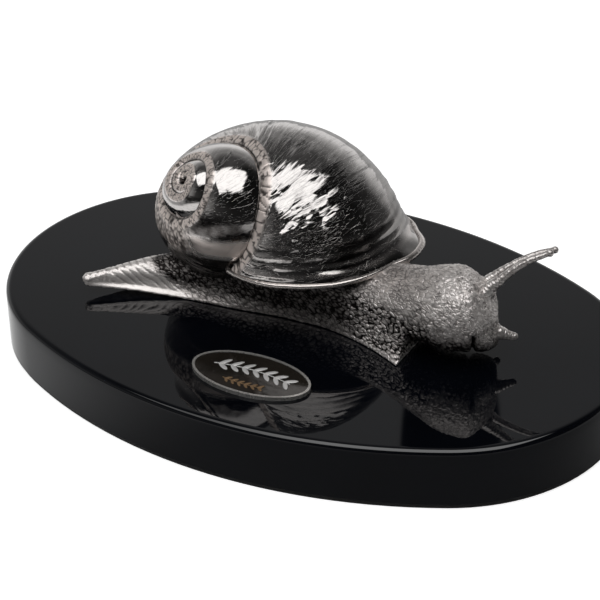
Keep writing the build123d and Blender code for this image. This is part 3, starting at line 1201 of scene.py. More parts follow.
        # Painted dark reflection on the right of the last whorl, which also gets fewer chips
        right = step(plain[:, 0], *self.right_x) * (1.0 - step(high, *self.right_rise))
        wear_and_painted_light *= 1.0 - 0.3 * right * young * (1.0 - step(plain[:, 0], *self.right_end_x))
        # The matt share: the seam band, the pebbled patch and the crescent of painted reflection
        matt = np.maximum(np.maximum(band, 0.85 * rough), 0.9 * painted_reflection)
        chips = np.maximum(young, self.old_chips) * (1.0 - matt) * (0.25 + 0.75 * calm) * (1.0 - 0.75 * right)
        return height, {
            Trait.WEAR: np.clip(wear_and_painted_light, 0.0, 1.0),
            Trait.BAND: np.maximum(matt, np.clip(0.8 * ridges, 0.0, 0.4)),
            Trait.CHIPS: chips,
            Trait.ALONG: along,
            Trait.ACROSS: across,
        }

    def outward(self, turn: np.ndarray, around: np.ndarray) -> np.ndarray:
        """The coil's outward directions.

        Args:
            turn: Growth angles in degrees.
            around: Angles round the section in radians.

        Returns:
            Rows of unit vectors.
        """
        surface = self.coil.surface
        small = 0.01
        by_turn = surface(turn + small, around) - surface(turn - small, around)
        by_side = surface(turn, around + small) - surface(turn, around - small)
        normal = np.cross(by_turn, by_side)
        normal /= np.linalg.norm(normal, axis=1)[:, None]
        middle = 0.5 * (surface(turn, around) + surface(turn, around + pi))
        return normal * np.sign(np.sum(normal * (surface(turn, around) - middle), axis=1))[:, None]

    def flares(self, point: np.ndarray) -> np.ndarray:
        """How far the lip's edge turns outwards.

        Args:
            point: Rows of X, Y and Z in metres.

        Returns:
            The flare at each point in metres.
        """
        over = np.maximum(self.lip_height(point), 0.0)
        ahead = step(point[:, 0], *self.flare_x)
        tip = step(point[:, 1], *self.tip_y[:2]) * step(point[:, 0], *self.tip_x)
        tip *= 1.0 - step(point[:, 1], *self.tip_y[2:])
        flare = self.flare_side + (self.flare_front - self.flare_side) * ahead
        flare = flare * np.clip(1.0 - over / self.flare_height, 0.0, 1.0) ** 2
        tip_height = self.tip_share * self.flare_height
        return flare + self.flare_tip * tip * np.clip(1.0 - over / tip_height, 0.0, 1.0) ** 2

    def tube(self, name: str, first: float, last: float, rings: int, sides: int) -> bpy.types.Object:
        """One run of the coil as a closed tube with its worked surface.

        Args:
            name: The piece's name.
            first: The growth angle where the run starts, in degrees.
            last: The growth angle where it ends.
            rings: How many rings the tube has.
            sides: How many vertices each ring has.

        Returns:
            The tube.
        """
        grid = swept_grid(name, rings, sides)
        start = self.coil.growth ** ((first - last) / TURN)
        share = start + (1.0 - start) * grid.ring / (rings - 1)
        turn = last + TURN * np.log(share) / np.log(self.coil.growth)
        shares, stops = np.array(self.side_stops).T
        around = np.radians(np.interp(grid.side / sides, shares, stops))
        normal = self.outward(turn, around)
        height, noted = self.relief(turn, around)
        point = self.coil.surface(turn, around) + normal * height[:, None]
        level = normal * np.array([1.0, 1.0, 0.0])
        level /= np.maximum(np.linalg.norm(level, axis=1), 0.05)[:, None]
        point = point + level * (self.flares(point) * (turn > self.late_first))[:, None]
        set_places(grid.piece, point)
        for trait, values in noted.items():
            note(grid.piece, trait, values)
        recalculate_normals(grid.piece)
        return grid.piece

    def cut(self, piece: bpy.types.Object, place: tuple, normal: tuple) -> None:
        """Cut a piece at a plane, keep the side that the normal points to and close it.

        Args:
            piece: The piece to cut.
            place: A point of the plane.
            normal: The plane's direction.
        """
        focus(piece)
        bpy.ops.object.mode_set(mode="EDIT")
        bpy.ops.mesh.select_all(action="SELECT")
        bpy.ops.mesh.bisect(plane_co=place, plane_no=normal, use_fill=True, clear_inner=True)
        bpy.ops.object.mode_set(mode="OBJECT")

    def lip_normal(self) -> Vector:
        """The direction up from the lip's plane."""
        rise = radians(self.lip_rise)
        return Vector((-sin(rise), 0.0, cos(rise)))

    def mouth_faces(self, piece: bpy.types.Object) -> list[int]:
        """The faces that close the mouth.

        Args:
            piece: The shell's last run, cut at the lip.

        Returns:
            The faces' numbers.
        """
        down = -self.lip_normal()
        return [
            face.index
            for face in piece.data.polygons
            if face.normal.dot(down) > 0.999 and abs(self.lip_height(np.array([face.center]))[0]) < 0.05 * MM
        ]

    def bead(self, piece: bpy.types.Object) -> bpy.types.Object:
        """A rolled edge along the lip, made from the mouth's outline.

        Args:
            piece: The shell's last run, cut at the lip.

        Returns:
            The rolled edge as a piece of its own.
        """
        focus(piece)
        faces = self.mouth_faces(piece)
        bpy.ops.object.mode_set(mode="EDIT")
        bpy.ops.mesh.select_mode(type="FACE")
        bpy.ops.mesh.select_all(action="DESELECT")
        bpy.ops.object.mode_set(mode="OBJECT")
        for number in faces:
            piece.data.polygons[number].select = True
        bpy.ops.object.mode_set(mode="EDIT")
        bpy.ops.mesh.duplicate()
        bpy.ops.mesh.separate(type="SELECTED")
        bpy.ops.object.mode_set(mode="OBJECT")
        outline = [other for other in bpy.context.selected_objects if other is not piece][0]
        focus(outline)
        bpy.ops.object.mode_set(mode="EDIT")
        bpy.ops.mesh.select_all(action="SELECT")
        bpy.ops.mesh.delete(type="ONLY_FACE")
        bpy.ops.object.mode_set(mode="OBJECT")
        bpy.ops.object.convert(target="CURVE")
        for spline in outline.data.splines:
            for point in spline.points:
                ahead = step(np.array([point.co.x]), *self.bead_front_x)[0]
                point.radius = 1.0 + (self.bead_front - 1.0) * ahead
        outline.data.bevel_depth = self.bead_radius
        outline.data.bevel_resolution = 3
        bpy.ops.object.convert(target="MESH")
        outline.name = "lip_bead"
        noted = {Trait.WEAR: 0.85, Trait.BAND: 0.35, Trait.CHIPS: 0.0, Trait.ALONG: 0.0, Trait.ACROSS: 0.0}
        for trait, value in noted.items():
            note(outline, trait, value)
        return outline

    def build(self) -> bpy.types.Object:
        """Make the shell and dress it.

        Returns:
            The shell.
        """
        late = self.tube("shell_visual", self.late_first, self.late_last, self.late_rings, self.late_sides)
        early = self.tube(
            "early_whorls", self.early_first, self.late_first, self.early_rings, self.early_sides
        )
        lip_place = (self.lip_start_x, 0.0, self.lip_z)
        self.cut(late, lip_place, tuple(self.lip_normal()))
        self.cut(early, (0.0, 0.0, self.rear_seat_z), (0.0, 0.0, 1.0))
        bead = self.bead(late)
        shell = join([late, early, bead])
        recalculate_normals(shell)
        smooth_shade(shell, 60.0)
        paint(shell, self.finish.material())
        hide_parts("shell_casting")
        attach(shell, "root")
        return shell


@dataclass(frozen=True)
class Head:
    """Place of the head, with its own forward, near and up directions."""

    middle: tuple = (53.0 * MM, -1.4 * MM, 35.3 * MM)
    heading: float = 30.0

    def point(self, forward: float, near: float, up: float) -> Vector:
        """A point given from the head's middle.

        Args:
            forward: Millimetres forward.
            near: Millimetres towards the near side.
            up: Millimetres up.

        Returns:
            The point in metres.
        """
        turn = radians(self.heading)
        ahead = Vector((cos(turn), sin(turn), 0.0))
        side = Vector((sin(turn), -cos(turn), 0.0))
        return Vector(self.middle) + (ahead * forward + side * near + Vector((0.0, 0.0, up))) * MM


@dataclass
class Body:
    """Foot, tail, neck and head in one casting, with its pebbled skin.

    The section runs are the shares of half a foot section where its sole, its edge, its hollow flank and its
    crown start, each with its length. Forms ahead of the head's middle give their place and half width.
    The skin's places, ways and heights are in millimetres. The raised edge gives X and how far the foot's
    edge is raised there.

    A foot station gives, in millimetres: X, the foot's middle in Y, how far it is raised, the foot's
    half width, the shoulder's middle in Y, its half width and height, and the height of the back.
    A neck station gives X, Y and Z of an oval's middle, its heading in degrees and its half sizes.
    """

    head: Head = field(default_factory=Head)
    finish: SilverFinish = SilverFinish(
        "body_silver",
        bright=(0.96, 0.91, 0.88),
        middle=(0.74, 0.69, 0.665),
        smooth=0.32,
        rough=0.50,
        metallic=0.92,
        frosted=0.55,
        wrinkles=((430.0, 50.0, -260.0), (360.0, 740.0, 745.0), (214.0, -370.0, 262.0)),
        wrinkled=0.44,
    )
    voxel: float = 0.42 * MM
    sole: float = 0.8
    sole_least: float = 0.4
    hollow_wide: float = 1.01
    hollow_high: float = 0.12
    foot_rings: int = 170
    foot_sides: int = 120
    neck_rings: int = 90
    neck_sides: int = 72
    section_runs: tuple = ((0.0, 0.14), (0.14, 0.02), (0.16, 0.18), (0.34, 0.16))
    foot_stations: tuple = (
        (-64.6, -23.0, 3.2, 2.1, -23.0, 1.7, 1.7, 3.4),
        (-60.0, -19.1, 2.7, 3.9, -19.1, 2.8, 2.2, 4.8),
        (-50.4, -11.4, 1.5, 6.9, -11.2, 4.8, 3.4, 8.2),
        (-36.0, -2.5, 0.0, 10.9, -2.0, 8.4, 5.5, 11.5),
        (-20.0, 2.4, 0.0, 14.0, 3.4, 13.0, 8.0, 14.5),
        (-5.0, 4.6, 0.0, 13.8, 6.3, 15.8, 12.0, 20.0),
        (10.0, 4.4, 0.0, 12.9, 6.3, 15.2, 12.0, 21.0),
        (20.0, 2.9, 0.0, 13.1, 4.2, 12.8, 11.0, 19.5),
        (29.0, 0.4, 0.0, 13.4, 1.6, 11.8, 11.3, 20.4),
        (38.5, -1.9, 0.0, 15.5, -0.9, 11.2, 12.0, 21.4),
    )
    neck_stations: tuple = (
        (10.0, 6.0, 30.0, 0.0, 12.0, 8.1),
        (19.9, 4.2, 30.4, -3.0, 11.8, 8.6),
        (28.9, 1.6, 31.3, -3.0, 11.5, 9.4),
        (37.5, -0.8, 32.8, 3.0, 11.5, 10.5),
        (45.7, -2.4, 34.65, 16.5, 12.1, 12.2),
        (53.0, -1.4, 35.3, 30.0, 12.0, 13.0),
        (57.6, 1.25, 33.4, 30.0, 9.4, 11.0),
        (60.7, 3.0, 31.2, 30.0, 5.4, 7.2),
    )
    head_x: tuple = (42.0, 52.0)
    tail_x: tuple = (-39.5, -34.5)
    tail_lean: float = 1.5
    tail_z: float = 22.0
    tip_x: tuple = (-61.0, -55.0)
    shaded_x: tuple = (14.0, 27.0)
    upper_z: tuple = (31.5, 36.0)
    raised_edge: tuple = ((-66.0, -60.0, -50.4, -36.0), (3.3, 2.7, 1.5, 0.0))
    groove_way: tuple = (0.370, 0.672, 0.642)
    groove_step: float = 1.8
    groove_drift: float = 0.45
    groove_edge: tuple = (0.06, 0.34)
    drift_size: float = 5.0
    drift_reach: float = 0.8
    grain_size: float = 1.35
    spot_size: float = 1.6
    patch_size: float = 4.2
    blotch_size: float = 2.4
    hem_high: float = 1.1
    hem_tail: float = 0.5
    hem_soft: float = 0.6
    pebble_ways: tuple = (
        ((0.85, 0.10, -0.52), 2.7),
        ((0.33, 0.67, 0.67), 1.25),
        ((0.43, -0.74, 0.52), 2.2),
    )
    pebble_high: float = 0.50
    head_high: float = 0.36
    groove_high: float = 0.26
    mouth_deep: float = 1.7
    mouth_ahead: tuple = (1.5, 0.6)
    mouth_up: tuple = (-4.2, -1.8)
    fold_high: float = 0.7
    fold_ahead: tuple = (-5.0, 1.6)
    fold_near: tuple = (2.0, 5.0)
    fold_up: tuple = (-9.0, -6.0)
    lobe_high: float = 0.8
    lobe_ahead: tuple = (6.0, 3.0)
    lobe_up: float = -8.0
    lobe_reach: tuple = (2.0, 5.0)

    def table(self, stations: tuple, rings: int) -> np.ndarray:
        """Spread a station table smoothly over evenly spaced rings.

        Args:
            stations: The table, a row for each station.
            rings: How many rings to spread it over.

        Returns:
            A row for each ring.
        """
        rows = np.array(stations)
        along = np.concatenate([[0.0], np.cumsum(np.linalg.norm(np.diff(rows[:, :2], axis=0), axis=1))])
        wanted = np.linspace(0.0, along[-1], rings)
        values = np.stack([np.interp(wanted, along, column) for column in rows.T], axis=1)
        return smoothed(values, 2 * max(3, rings // 22) + 3)

    def foot(self) -> bpy.types.Object:
        """The foot and the back: bell sections with a thin edge and hollow flanks.

        Returns:
            The foot.
        """
        grid = swept_grid("body_visual", self.foot_rings, self.foot_sides)
        row = self.table(self.foot_stations, self.foot_rings)[grid.ring]
        x, foot_y, raised, wide, back_y, narrow, shoulder, back = row.T
        share = grid.side / self.foot_sides
        left = share > 0.5
        half = np.where(left, 1.0 - share, share)
        low, edge, flank, crown = (
            np.clip((half - start) / run, 0.0, 1.0) for start, run in self.section_runs
        )
        crown = crown * pi / 2
        first, second, third = (1.0 - flank) ** 2, 2.0 * flank * (1.0 - flank), flank**2
        hollow = np.minimum(narrow, wide) * self.hollow_wide
        across = low * (first * wide + second * hollow + third * narrow) * np.cos(crown)
        sole = np.minimum(self.sole, self.sole_least * shoulder)
        height = first * sole * edge + second * (sole + self.hollow_high * shoulder) + third * shoulder
        height = height + (back - shoulder) * np.sin(crown)
        middle = foot_y + (back_y - foot_y) * np.clip(height / np.maximum(shoulder, 0.1), 0.0, 1.0)
        sign = np.where(left, -1.0, 1.0)
        set_places(grid.piece, np.stack([x, middle + sign * across, TOP + raised + height], axis=1) * MM)
        recalculate_normals(grid.piece)
        return grid.piece

    def neck(self) -> bpy.types.Object:
        """The neck and the head: ovals that turn from the neck's way to the head's.

        Returns:
            The neck.
        """
        grid = swept_grid("neck", self.neck_rings, self.neck_sides)
        row = self.table(self.neck_stations, self.neck_rings)[grid.ring]
        x, y, z, heading, wide, high = row.T
        angle = grid.side * 2 * pi / self.neck_sides
        turn = np.radians(heading)
        out = wide * np.cos(angle)
        set_places(
            grid.piece,
            np.stack([x + np.sin(turn) * out, y - np.cos(turn) * out, z + high * np.sin(angle)], axis=1) * MM,
        )
        recalculate_normals(grid.piece)
        return grid.piece

    def lump(
        self, place: Vector, sizes: tuple, heading: float = 30.0, pitch: float = 0.0
    ) -> bpy.types.Object:
        """A rounded lump.

        Args:
            place: Its middle in metres.
            sizes: Half sizes forward, sideways and up, in millimetres.
            heading: Degrees that its forward way is turned from X.
            pitch: Degrees that its forward way is tipped up.

        Returns:
            The lump.
        """
        deselect()
        bpy.ops.mesh.primitive_uv_sphere_add(segments=32, ring_count=20, radius=MM)
        lump = bpy.context.object
        lump.scale = sizes
        lump.rotation_euler = (0.0, -radians(pitch), radians(heading))
        lump.location = place
        bpy.ops.object.transform_apply(location=True, rotation=True, scale=True)
        return lump

    def lumps(self) -> list[bpy.types.Object]:
        """Lips, tentacle roots and the round end of the tail.

        Returns:
            The lumps.
        """
        at = self.head.point
        return [
            self.lump(at(5.4, 3.9, -7.5), (3.6, 3.2, 2.9)),
            self.lump(at(5.4, -3.9, -7.5), (3.6, 3.2, 2.9)),
            self.lump(at(5.9, 2.7, 7.0), (2.6, 2.2, 2.1), pitch=38.0),
            self.lump(at(5.9, -2.7, 6.4), (2.6, 2.2, 2.1), pitch=38.0),
            self.lump(Vector((-64.2, -22.7, 24.9)) * MM, (2.3, 2.0, 1.7), heading=40.0),
        ]

    def regions(self, mm: np.ndarray) -> tuple[np.ndarray, ...]:
        """Where on the body the points lie.

        Args:
            mm: Rows of X, Y and Z in millimetres.

        Returns:
            Shares from 0 to 1 of the head, the tail, its tip, the upper neck and the shaded flank, and then
            the height over the foot's edge in millimetres.
        """
        head = step(mm[:, 0], *self.head_x)
        tail = 1.0 - step(mm[:, 0] + self.tail_lean * (mm[:, 2] - self.tail_z), *self.tail_x)
        tip = 1.0 - step(mm[:, 0], *self.tip_x)
        upper = step(mm[:, 2], *self.upper_z) * (1.0 - head)
        shaded = (1.0 - step(mm[:, 0], *self.shaded_x)) * (1.0 - tail)
        over = mm[:, 2] - (TOP + np.interp(mm[:, 0], *self.raised_edge))
        return head, tail, tip, upper, shaded, over

    def grooves(self, mm: np.ndarray, drift: np.ndarray) -> np.ndarray:
        """The fine slanting grooves of the tail.

        Args:
            mm: Rows of X, Y and Z in millimetres.
            drift: A shift that makes them less even.

        Returns:
            Nought in a groove, one between two.
        """
        turns = mm @ np.array(self.groove_way) / self.groove_step + self.groove_drift * drift[:, 0]
        return step(np.abs(np.mod(turns, 1.0) - 0.5) * 2.0, *self.groove_edge)

    def face_forms(self, at: np.ndarray, head: np.ndarray) -> tuple[np.ndarray, np.ndarray]:
        """The notch of the mouth, the fold behind the cheek and the lobes of the lips.

        Args:
            at: Rows of X, Y and Z in metres.
            head: The head's share at each point.

        Returns:
            The height that they add in millimetres, and the mouth's share.
        """
        turn = radians(self.head.heading)
        out = (at - np.array(self.head.middle)) / MM
        forward = out[:, 0] * cos(turn) + out[:, 1] * sin(turn)
        near = out[:, 0] * sin(turn) - out[:, 1] * cos(turn)
        up = out[:, 2]
        mouth = bump_at(forward, *self.mouth_ahead) * (1.0 - step(up, *self.mouth_up)) * head
        fold = bump_at(forward, *self.fold_ahead) * step(near, *self.fold_near)
        fold *= (1.0 - step(up, *self.fold_up)) * head
        lobe = bump_at(forward, *self.lobe_ahead)
        lobe *= 1.0 - step(np.abs(up - self.lobe_up), *self.lobe_reach)
        lobe *= head
        return self.fold_high * fold + self.lobe_high * lobe - self.mouth_deep * mouth, mouth

    def skin(self, piece: bpy.types.Object) -> None:
        """Raise the skin's pebbles and grooves; note where it is polished and where shade is painted.

        Args:
            piece: The joined and smoothed body.
        """
        at = places(piece)
        normal = vertex_normals(piece)
        mm = at / MM
        head, tail, tip, upper, shaded, over = self.regions(mm)
        drift = drift_noise(mm / self.drift_size, Seed.SKIN_DRIFT)
        warped = mm + self.drift_reach * drift
        coarse = np.stack([warped @ np.array(way) / size for way, size in self.pebble_ways], axis=1)
        pebble = step(cell_gaps(coarse, Seed.SKIN_PEBBLES), 0.03, 0.42)
        grain = step(cell_gaps(warped / self.grain_size, Seed.SKIN_GRAINS), 0.03, 0.45)
        patch = soft_noise(mm / self.patch_size, Seed.SKIN_PATCHES)
        spots = step(cell_gaps(warped / self.spot_size, Seed.TIP_SPOTS), 0.02, 0.25)
        tailed = blend(self.grooves(mm, drift), spots, tip)
        mixed = 0.72 * pebble + 0.28 * grain * step(patch, -0.7, 0.5)
        mixed = blend(mixed, 0.35 * pebble + 0.65 * grain, head)
        mixed = blend(mixed, tailed, tail)
        hem_high = self.hem_high + self.hem_tail * tail
        hem = 1.0 - step(over, hem_high, hem_high + self.hem_soft)
        flat = (1.0 - hem) * (1.0 - step(-normal[:, 2], 0.7, 0.95))
        relief = blend(blend(self.pebble_high, self.head_high, head), self.groove_high, tail)
        relief = relief * (1.0 - 0.5 * shaded) * (1.0 - 0.55 * upper)
        formed, mouth = self.face_forms(at, head)
        height = relief * (mixed - 0.35) * flat
        height += formed
        set_places(piece, at + normal * (height * MM)[:, None])

        blotch = soft_noise(mm / self.blotch_size, Seed.BLOTCHES)
        wear_and_painted_light = blend(0.38 + 0.52 * mixed + 0.12 * patch, 0.52 + 0.10 * patch, 0.6 * upper)
        wear_and_painted_light = blend(wear_and_painted_light, 0.84 + 0.40 * (mixed - 0.5) + 0.26 * blotch, head)
        wear_and_painted_light = blend(wear_and_painted_light, 0.46 + 0.66 * tailed, tail)
        # Painted shade on the flank under the shell, which also dims the hem there
        wear_and_painted_light = blend(wear_and_painted_light, 0.18 + 0.18 * mixed + 0.16 * (1.0 - step(over, 3.0, 5.5)), shaded)
        wear_and_painted_light = np.maximum(wear_and_painted_light, 0.95 * hem * (1.0 - 0.5 * shaded)) * (1.0 - 0.85 * mouth)
        # Painted shade on faces that turn down
        wear_and_painted_light *= 1.0 - 0.7 * step(-normal[:, 2], 0.25, 0.7)
        wrinkle = (1.0 - 0.95 * tail) * (1.0 - 0.55 * upper) * (1.0 - 0.45 * head) * (1.0 - 0.6 * shaded)
        note(piece, Trait.WEAR, np.clip(wear_and_painted_light, 0.0, 1.0))
        note(piece, Trait.WRINKLE, wrinkle)
        note(piece, Trait.PITS, 0.15 + 0.75 * head * (1.0 - 0.5 * step(blotch, 0.0, 0.6)))

    def build(self) -> bpy.types.Object:
        """Join the forms into one skin, work it and dress it.

        Returns:
            The body.
        """
        body = join([self.foot(), self.neck(), *self.lumps()])
        apply_modifier(body, "REMESH", mode="VOXEL", voxel_size=self.voxel, adaptivity=0.0)
        apply_modifier(body, "SMOOTH", factor=0.5, iterations=8)
        self.skin(body)
        at = places(body)
        at[:, 2] = np.maximum(at[:, 2], TOP_Z)
        set_places(body, at)
        recalculate_normals(body)
        smooth_shade(body)
        paint(body, self.finish.material())
        rename(body, "body_visual")
        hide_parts("body_casting")
        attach(body, "root")
        return body


@dataclass
class Tentacle:
    """A wrinkled stalk with a swelling root and a round end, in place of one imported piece.

    A row of the path gives millimetres forward, near and up from the head's middle, and the radius there.
    """

    node: str
    path: tuple
    end_radius: float
    head: Head = field(default_factory=Head)
    rings: int = 150
    sides: int = 32
    wrinkle: float = 0.10
    wrinkle_length: float = 0.55
    smoothing: int = 25
    least_radius: float = 0.02

    def line(self) -> tuple[np.ndarray, np.ndarray, np.ndarray]:
        """The path rounded and spread over the rings.

        Returns:
            For each ring, its middle, its radius and its distance along the stalk, in millimetres.
        """
        rows = np.array(self.path)
        steps = np.linalg.norm(np.diff(rows[:, :3], axis=0), axis=1)
        length = np.concatenate([[0.0], np.cumsum(steps)])
        even = np.linspace(0.0, length[-1], self.rings)
        line = np.stack([np.interp(even, length, column) for column in rows.T], axis=1)
        line = smoothed(line, self.smoothing)
        return line[:, :3], line[:, 3], even

    def build(self, material: bpy.types.Material) -> bpy.types.Object:
        """Make the stalk and dress it.

        Args:
            material: The stalk's finish.

        Returns:
            The stalk.
        """
        grid = swept_grid(self.node + "_visual", self.rings, self.sides)
        spine, radius, even = self.line()
        to_end = even[-1] - even
        ball = np.sqrt(np.clip(self.end_radius**2 - (to_end - self.end_radius) ** 2, 0.0, None))
        radius = np.where(to_end < self.end_radius, ball, np.maximum(radius, ball))
        ahead = np.gradient(spine, axis=0)
        ahead /= np.linalg.norm(ahead, axis=1)[:, None]
        across = np.cross(ahead, np.array([0.0, 1.0, 0.0]))
        across /= np.linalg.norm(across, axis=1)[:, None]
        upright = np.cross(across, ahead)
        ring, angle = grid.ring, grid.side * 2 * pi / self.sides
        thick = np.maximum(radius, self.least_radius)[ring]
        places_in_skin = (even[ring] / self.wrinkle_length, np.cos(angle) * 0.9, np.sin(angle) * 0.9)
        wrinkled = np.stack(places_in_skin, axis=1)
        noise = soft_noise(wrinkled, Seed.STALK) + 0.5 * soft_noise(wrinkled * 2.1, Seed.STALK_FINE)
        size = thick * (1.0 + self.wrinkle * noise * np.minimum(1.0, thick))
        out = across[ring] * np.cos(angle)[:, None] + upright[ring] * np.sin(angle)[:, None]
        local = spine[ring] + out * size[:, None]
        turn = radians(self.head.heading)
        ways = np.array([[cos(turn), sin(turn), 0.0], [sin(turn), -cos(turn), 0.0], [0.0, 0.0, 1.0]])
        set_places(grid.piece, np.array(self.head.middle) + local @ ways * MM)
        note(grid.piece, Trait.WEAR, np.clip(0.62 + 0.28 * noise, 0.0, 1.0))
        recalculate_normals(grid.piece)
        smooth_shade(grid.piece)
        paint(grid.piece, material)
        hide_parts(self.node)
        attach(grid.piece, "root")
        return grid.piece


TENTACLES = (
    Tentacle(
        "upper_tentacle_right",
        (
            (3.2, 2.7, 5.4, 2.9),
            (5.6, 2.7, 7.4, 2.3),
            (7.2, 2.7, 9.0, 1.75),
            (10.5, 2.7, 12.0, 1.3),
            (13.6, 2.7, 14.6, 1.12),
            (16.8, 2.7, 16.9, 1.05),
            (20.5, 2.7, 18.4, 0.95),
            (24.3, 2.7, 19.9, 0.85),
        ),
        1.15,
    ),
    Tentacle(
        "upper_tentacle_left",
        (
            (3.2, -2.7, 4.4, 2.7),
            (5.6, -2.7, 6.6, 2.1),
            (7.0, -2.7, 7.9, 1.6),
            (9.8, -2.7, 10.4, 1.2),
            (13.3, -2.7, 12.6, 1.05),
            (16.8, -2.7, 14.6, 1.0),
            (21.1, -2.7, 16.4, 0.9),
            (26.4, -2.7, 17.4, 0.8),
        ),
        1.05,
    ),
    Tentacle(
        "lower_tentacle_right",
        (
            (4.6, 3.6, -5.4, 2.9),
            (7.2, 3.8, -5.7, 2.7),
            (9.4, 4.0, -6.1, 2.1),
            (11.8, 4.1, -6.8, 1.35),
            (14.8, 4.2, -7.7, 1.05),
        ),
        1.05,
        rings=90,
    ),
    Tentacle(
        "lower_tentacle_left",
        (
            (3.6, -3.6, -6.4, 2.5),
            (6.2, -3.8, -7.4, 2.0),
            (8.0, -4.0, -8.4, 1.5),
            (9.4, -4.3, -9.3, 1.15),
            (10.6, -4.6, -10.2, 1.0),
        ),
        1.05,
        rings=90,
    ),
)


@dataclass(frozen=True)
class SprigFinish:
    """Bright silver leaves, with a browned gilt twig under them."""

    name: str
    silver: tuple = (0.92, 0.91, 0.90)
    gilt: tuple = (0.30, 0.19, 0.10)

    def material(self) -> bpy.types.Material:
        """Build the node material.

        Returns:
            The material.
        """
        nodes = Nodes(self.name)
        cloud = nodes.noise(700.0, 4.0, 0.6)
        shade = nodes.total((nodes.attribute(Trait.GILT), 1.0), (cloud, 0.12))
        nodes.set("Base Color", nodes.ramp(shade, ((0.2, self.silver), (0.8, self.gilt))))
        nodes.set("Metallic", 0.55)
        nodes.set("Roughness", nodes.total((cloud, 0.2), (1.0, 0.3)))
        nodes.bump(cloud, 0.3, 0.05 * MM)
        return nodes.material


@dataclass
class Sprig:
    """The sprig on the badge, leaf by leaf.

    A twig gives, in millimetres, its half length, its pairs of leaves, its middle's place up the badge, how
    far it bows, half a leaf's length and width, and then how gilt it is.
    """

    middle: tuple = (3.6 * MM, -41.0 * MM, 21.05 * MM)
    thick: float = 0.16 * MM
    finish: SprigFinish = SprigFinish("badge_leaf")
    twigs: tuple = (
        (12.6, 7, 0.4, 1.6, (2.1, 0.72), 0.0),
        (6.5, 6, -5.0, -0.5, (1.1, 0.42), 1.0),
    )
    stem_half: float = 0.16
    leaf_turn: float = 42.0

    def leaf(self, place: tuple, sizes: tuple, turn: float) -> bpy.types.Object:
        """One leaf.

        Args:
            place: Its middle, in millimetres from the badge's.
            sizes: Half sizes along and across, in millimetres.
            turn: Degrees that it is turned from X.

        Returns:
            The leaf.
        """
        deselect()
        bpy.ops.mesh.primitive_uv_sphere_add(segments=20, ring_count=10, radius=1.0)
        leaf = bpy.context.object
        leaf.scale = (sizes[0] * MM, sizes[1] * MM, self.thick)
        leaf.rotation_euler = (0.0, 0.0, radians(turn))
        leaf.location = Vector(self.middle) + Vector((place[0] * MM, place[1] * MM, 0.0))
        bpy.ops.object.transform_apply(location=True, rotation=True, scale=True)
        return leaf

    def twig(
        self, half: float, pairs: int, rise: float, bow: float, leaf: tuple, gilt: float
    ) -> list[bpy.types.Object]:
        """A bowed stem with pairs of leaves.

        Args:
            half: Half its length in millimetres.
            pairs: How many pairs of leaves it has.
            rise: The stem's ends' place up the badge in millimetres.
            bow: How far its middle bows up, in millimetres.
            leaf: A leaf's half sizes along and across, in millimetres.
            gilt: How gilt it is, from 0 to 1.

        Returns:
            The pieces of the stem and the leaves.
        """

        def stem(x: float) -> tuple[float, float]:
            """The stem's place up the badge and its slope in degrees at a place along it."""
            return rise + bow * (1.0 - (x / half) ** 2), np.degrees(np.arctan(-2.0 * bow * x / half**2))

        made = []
        steps = 4 * pairs
        for number in range(steps):
            x = -half + 2 * half * (number + 0.5) / steps
            y, slope = stem(x)
            made.append(self.leaf((x, y), (1.3 * half / steps, self.stem_half), slope))
        for pair in range(pairs):
            x = -half + 2 * half * (pair + 0.45) / pairs
            y, slope = stem(x)
            for side in (-1.0, 1.0):
                turn = slope + side * self.leaf_turn
                out = leaf[0] * 0.95
                place = (x + out * cos(radians(turn)), y + out * sin(radians(turn)))
                made.append(self.leaf(place, leaf, turn))
        for piece in made:
            note(piece, Trait.GILT, gilt)
        return made

    def build(self) -> bpy.types.Object:
        """Make the sprig and dress it.

        Returns:
            The sprig.
        """
        sprig = join([piece for twig in self.twigs for piece in self.twig(*twig)])
        rename(sprig, "badge_leaves")
        smooth_shade(sprig)
        paint(sprig, self.finish.material())
        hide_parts("badge_sprig")
        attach(sprig, "root")
        return sprig


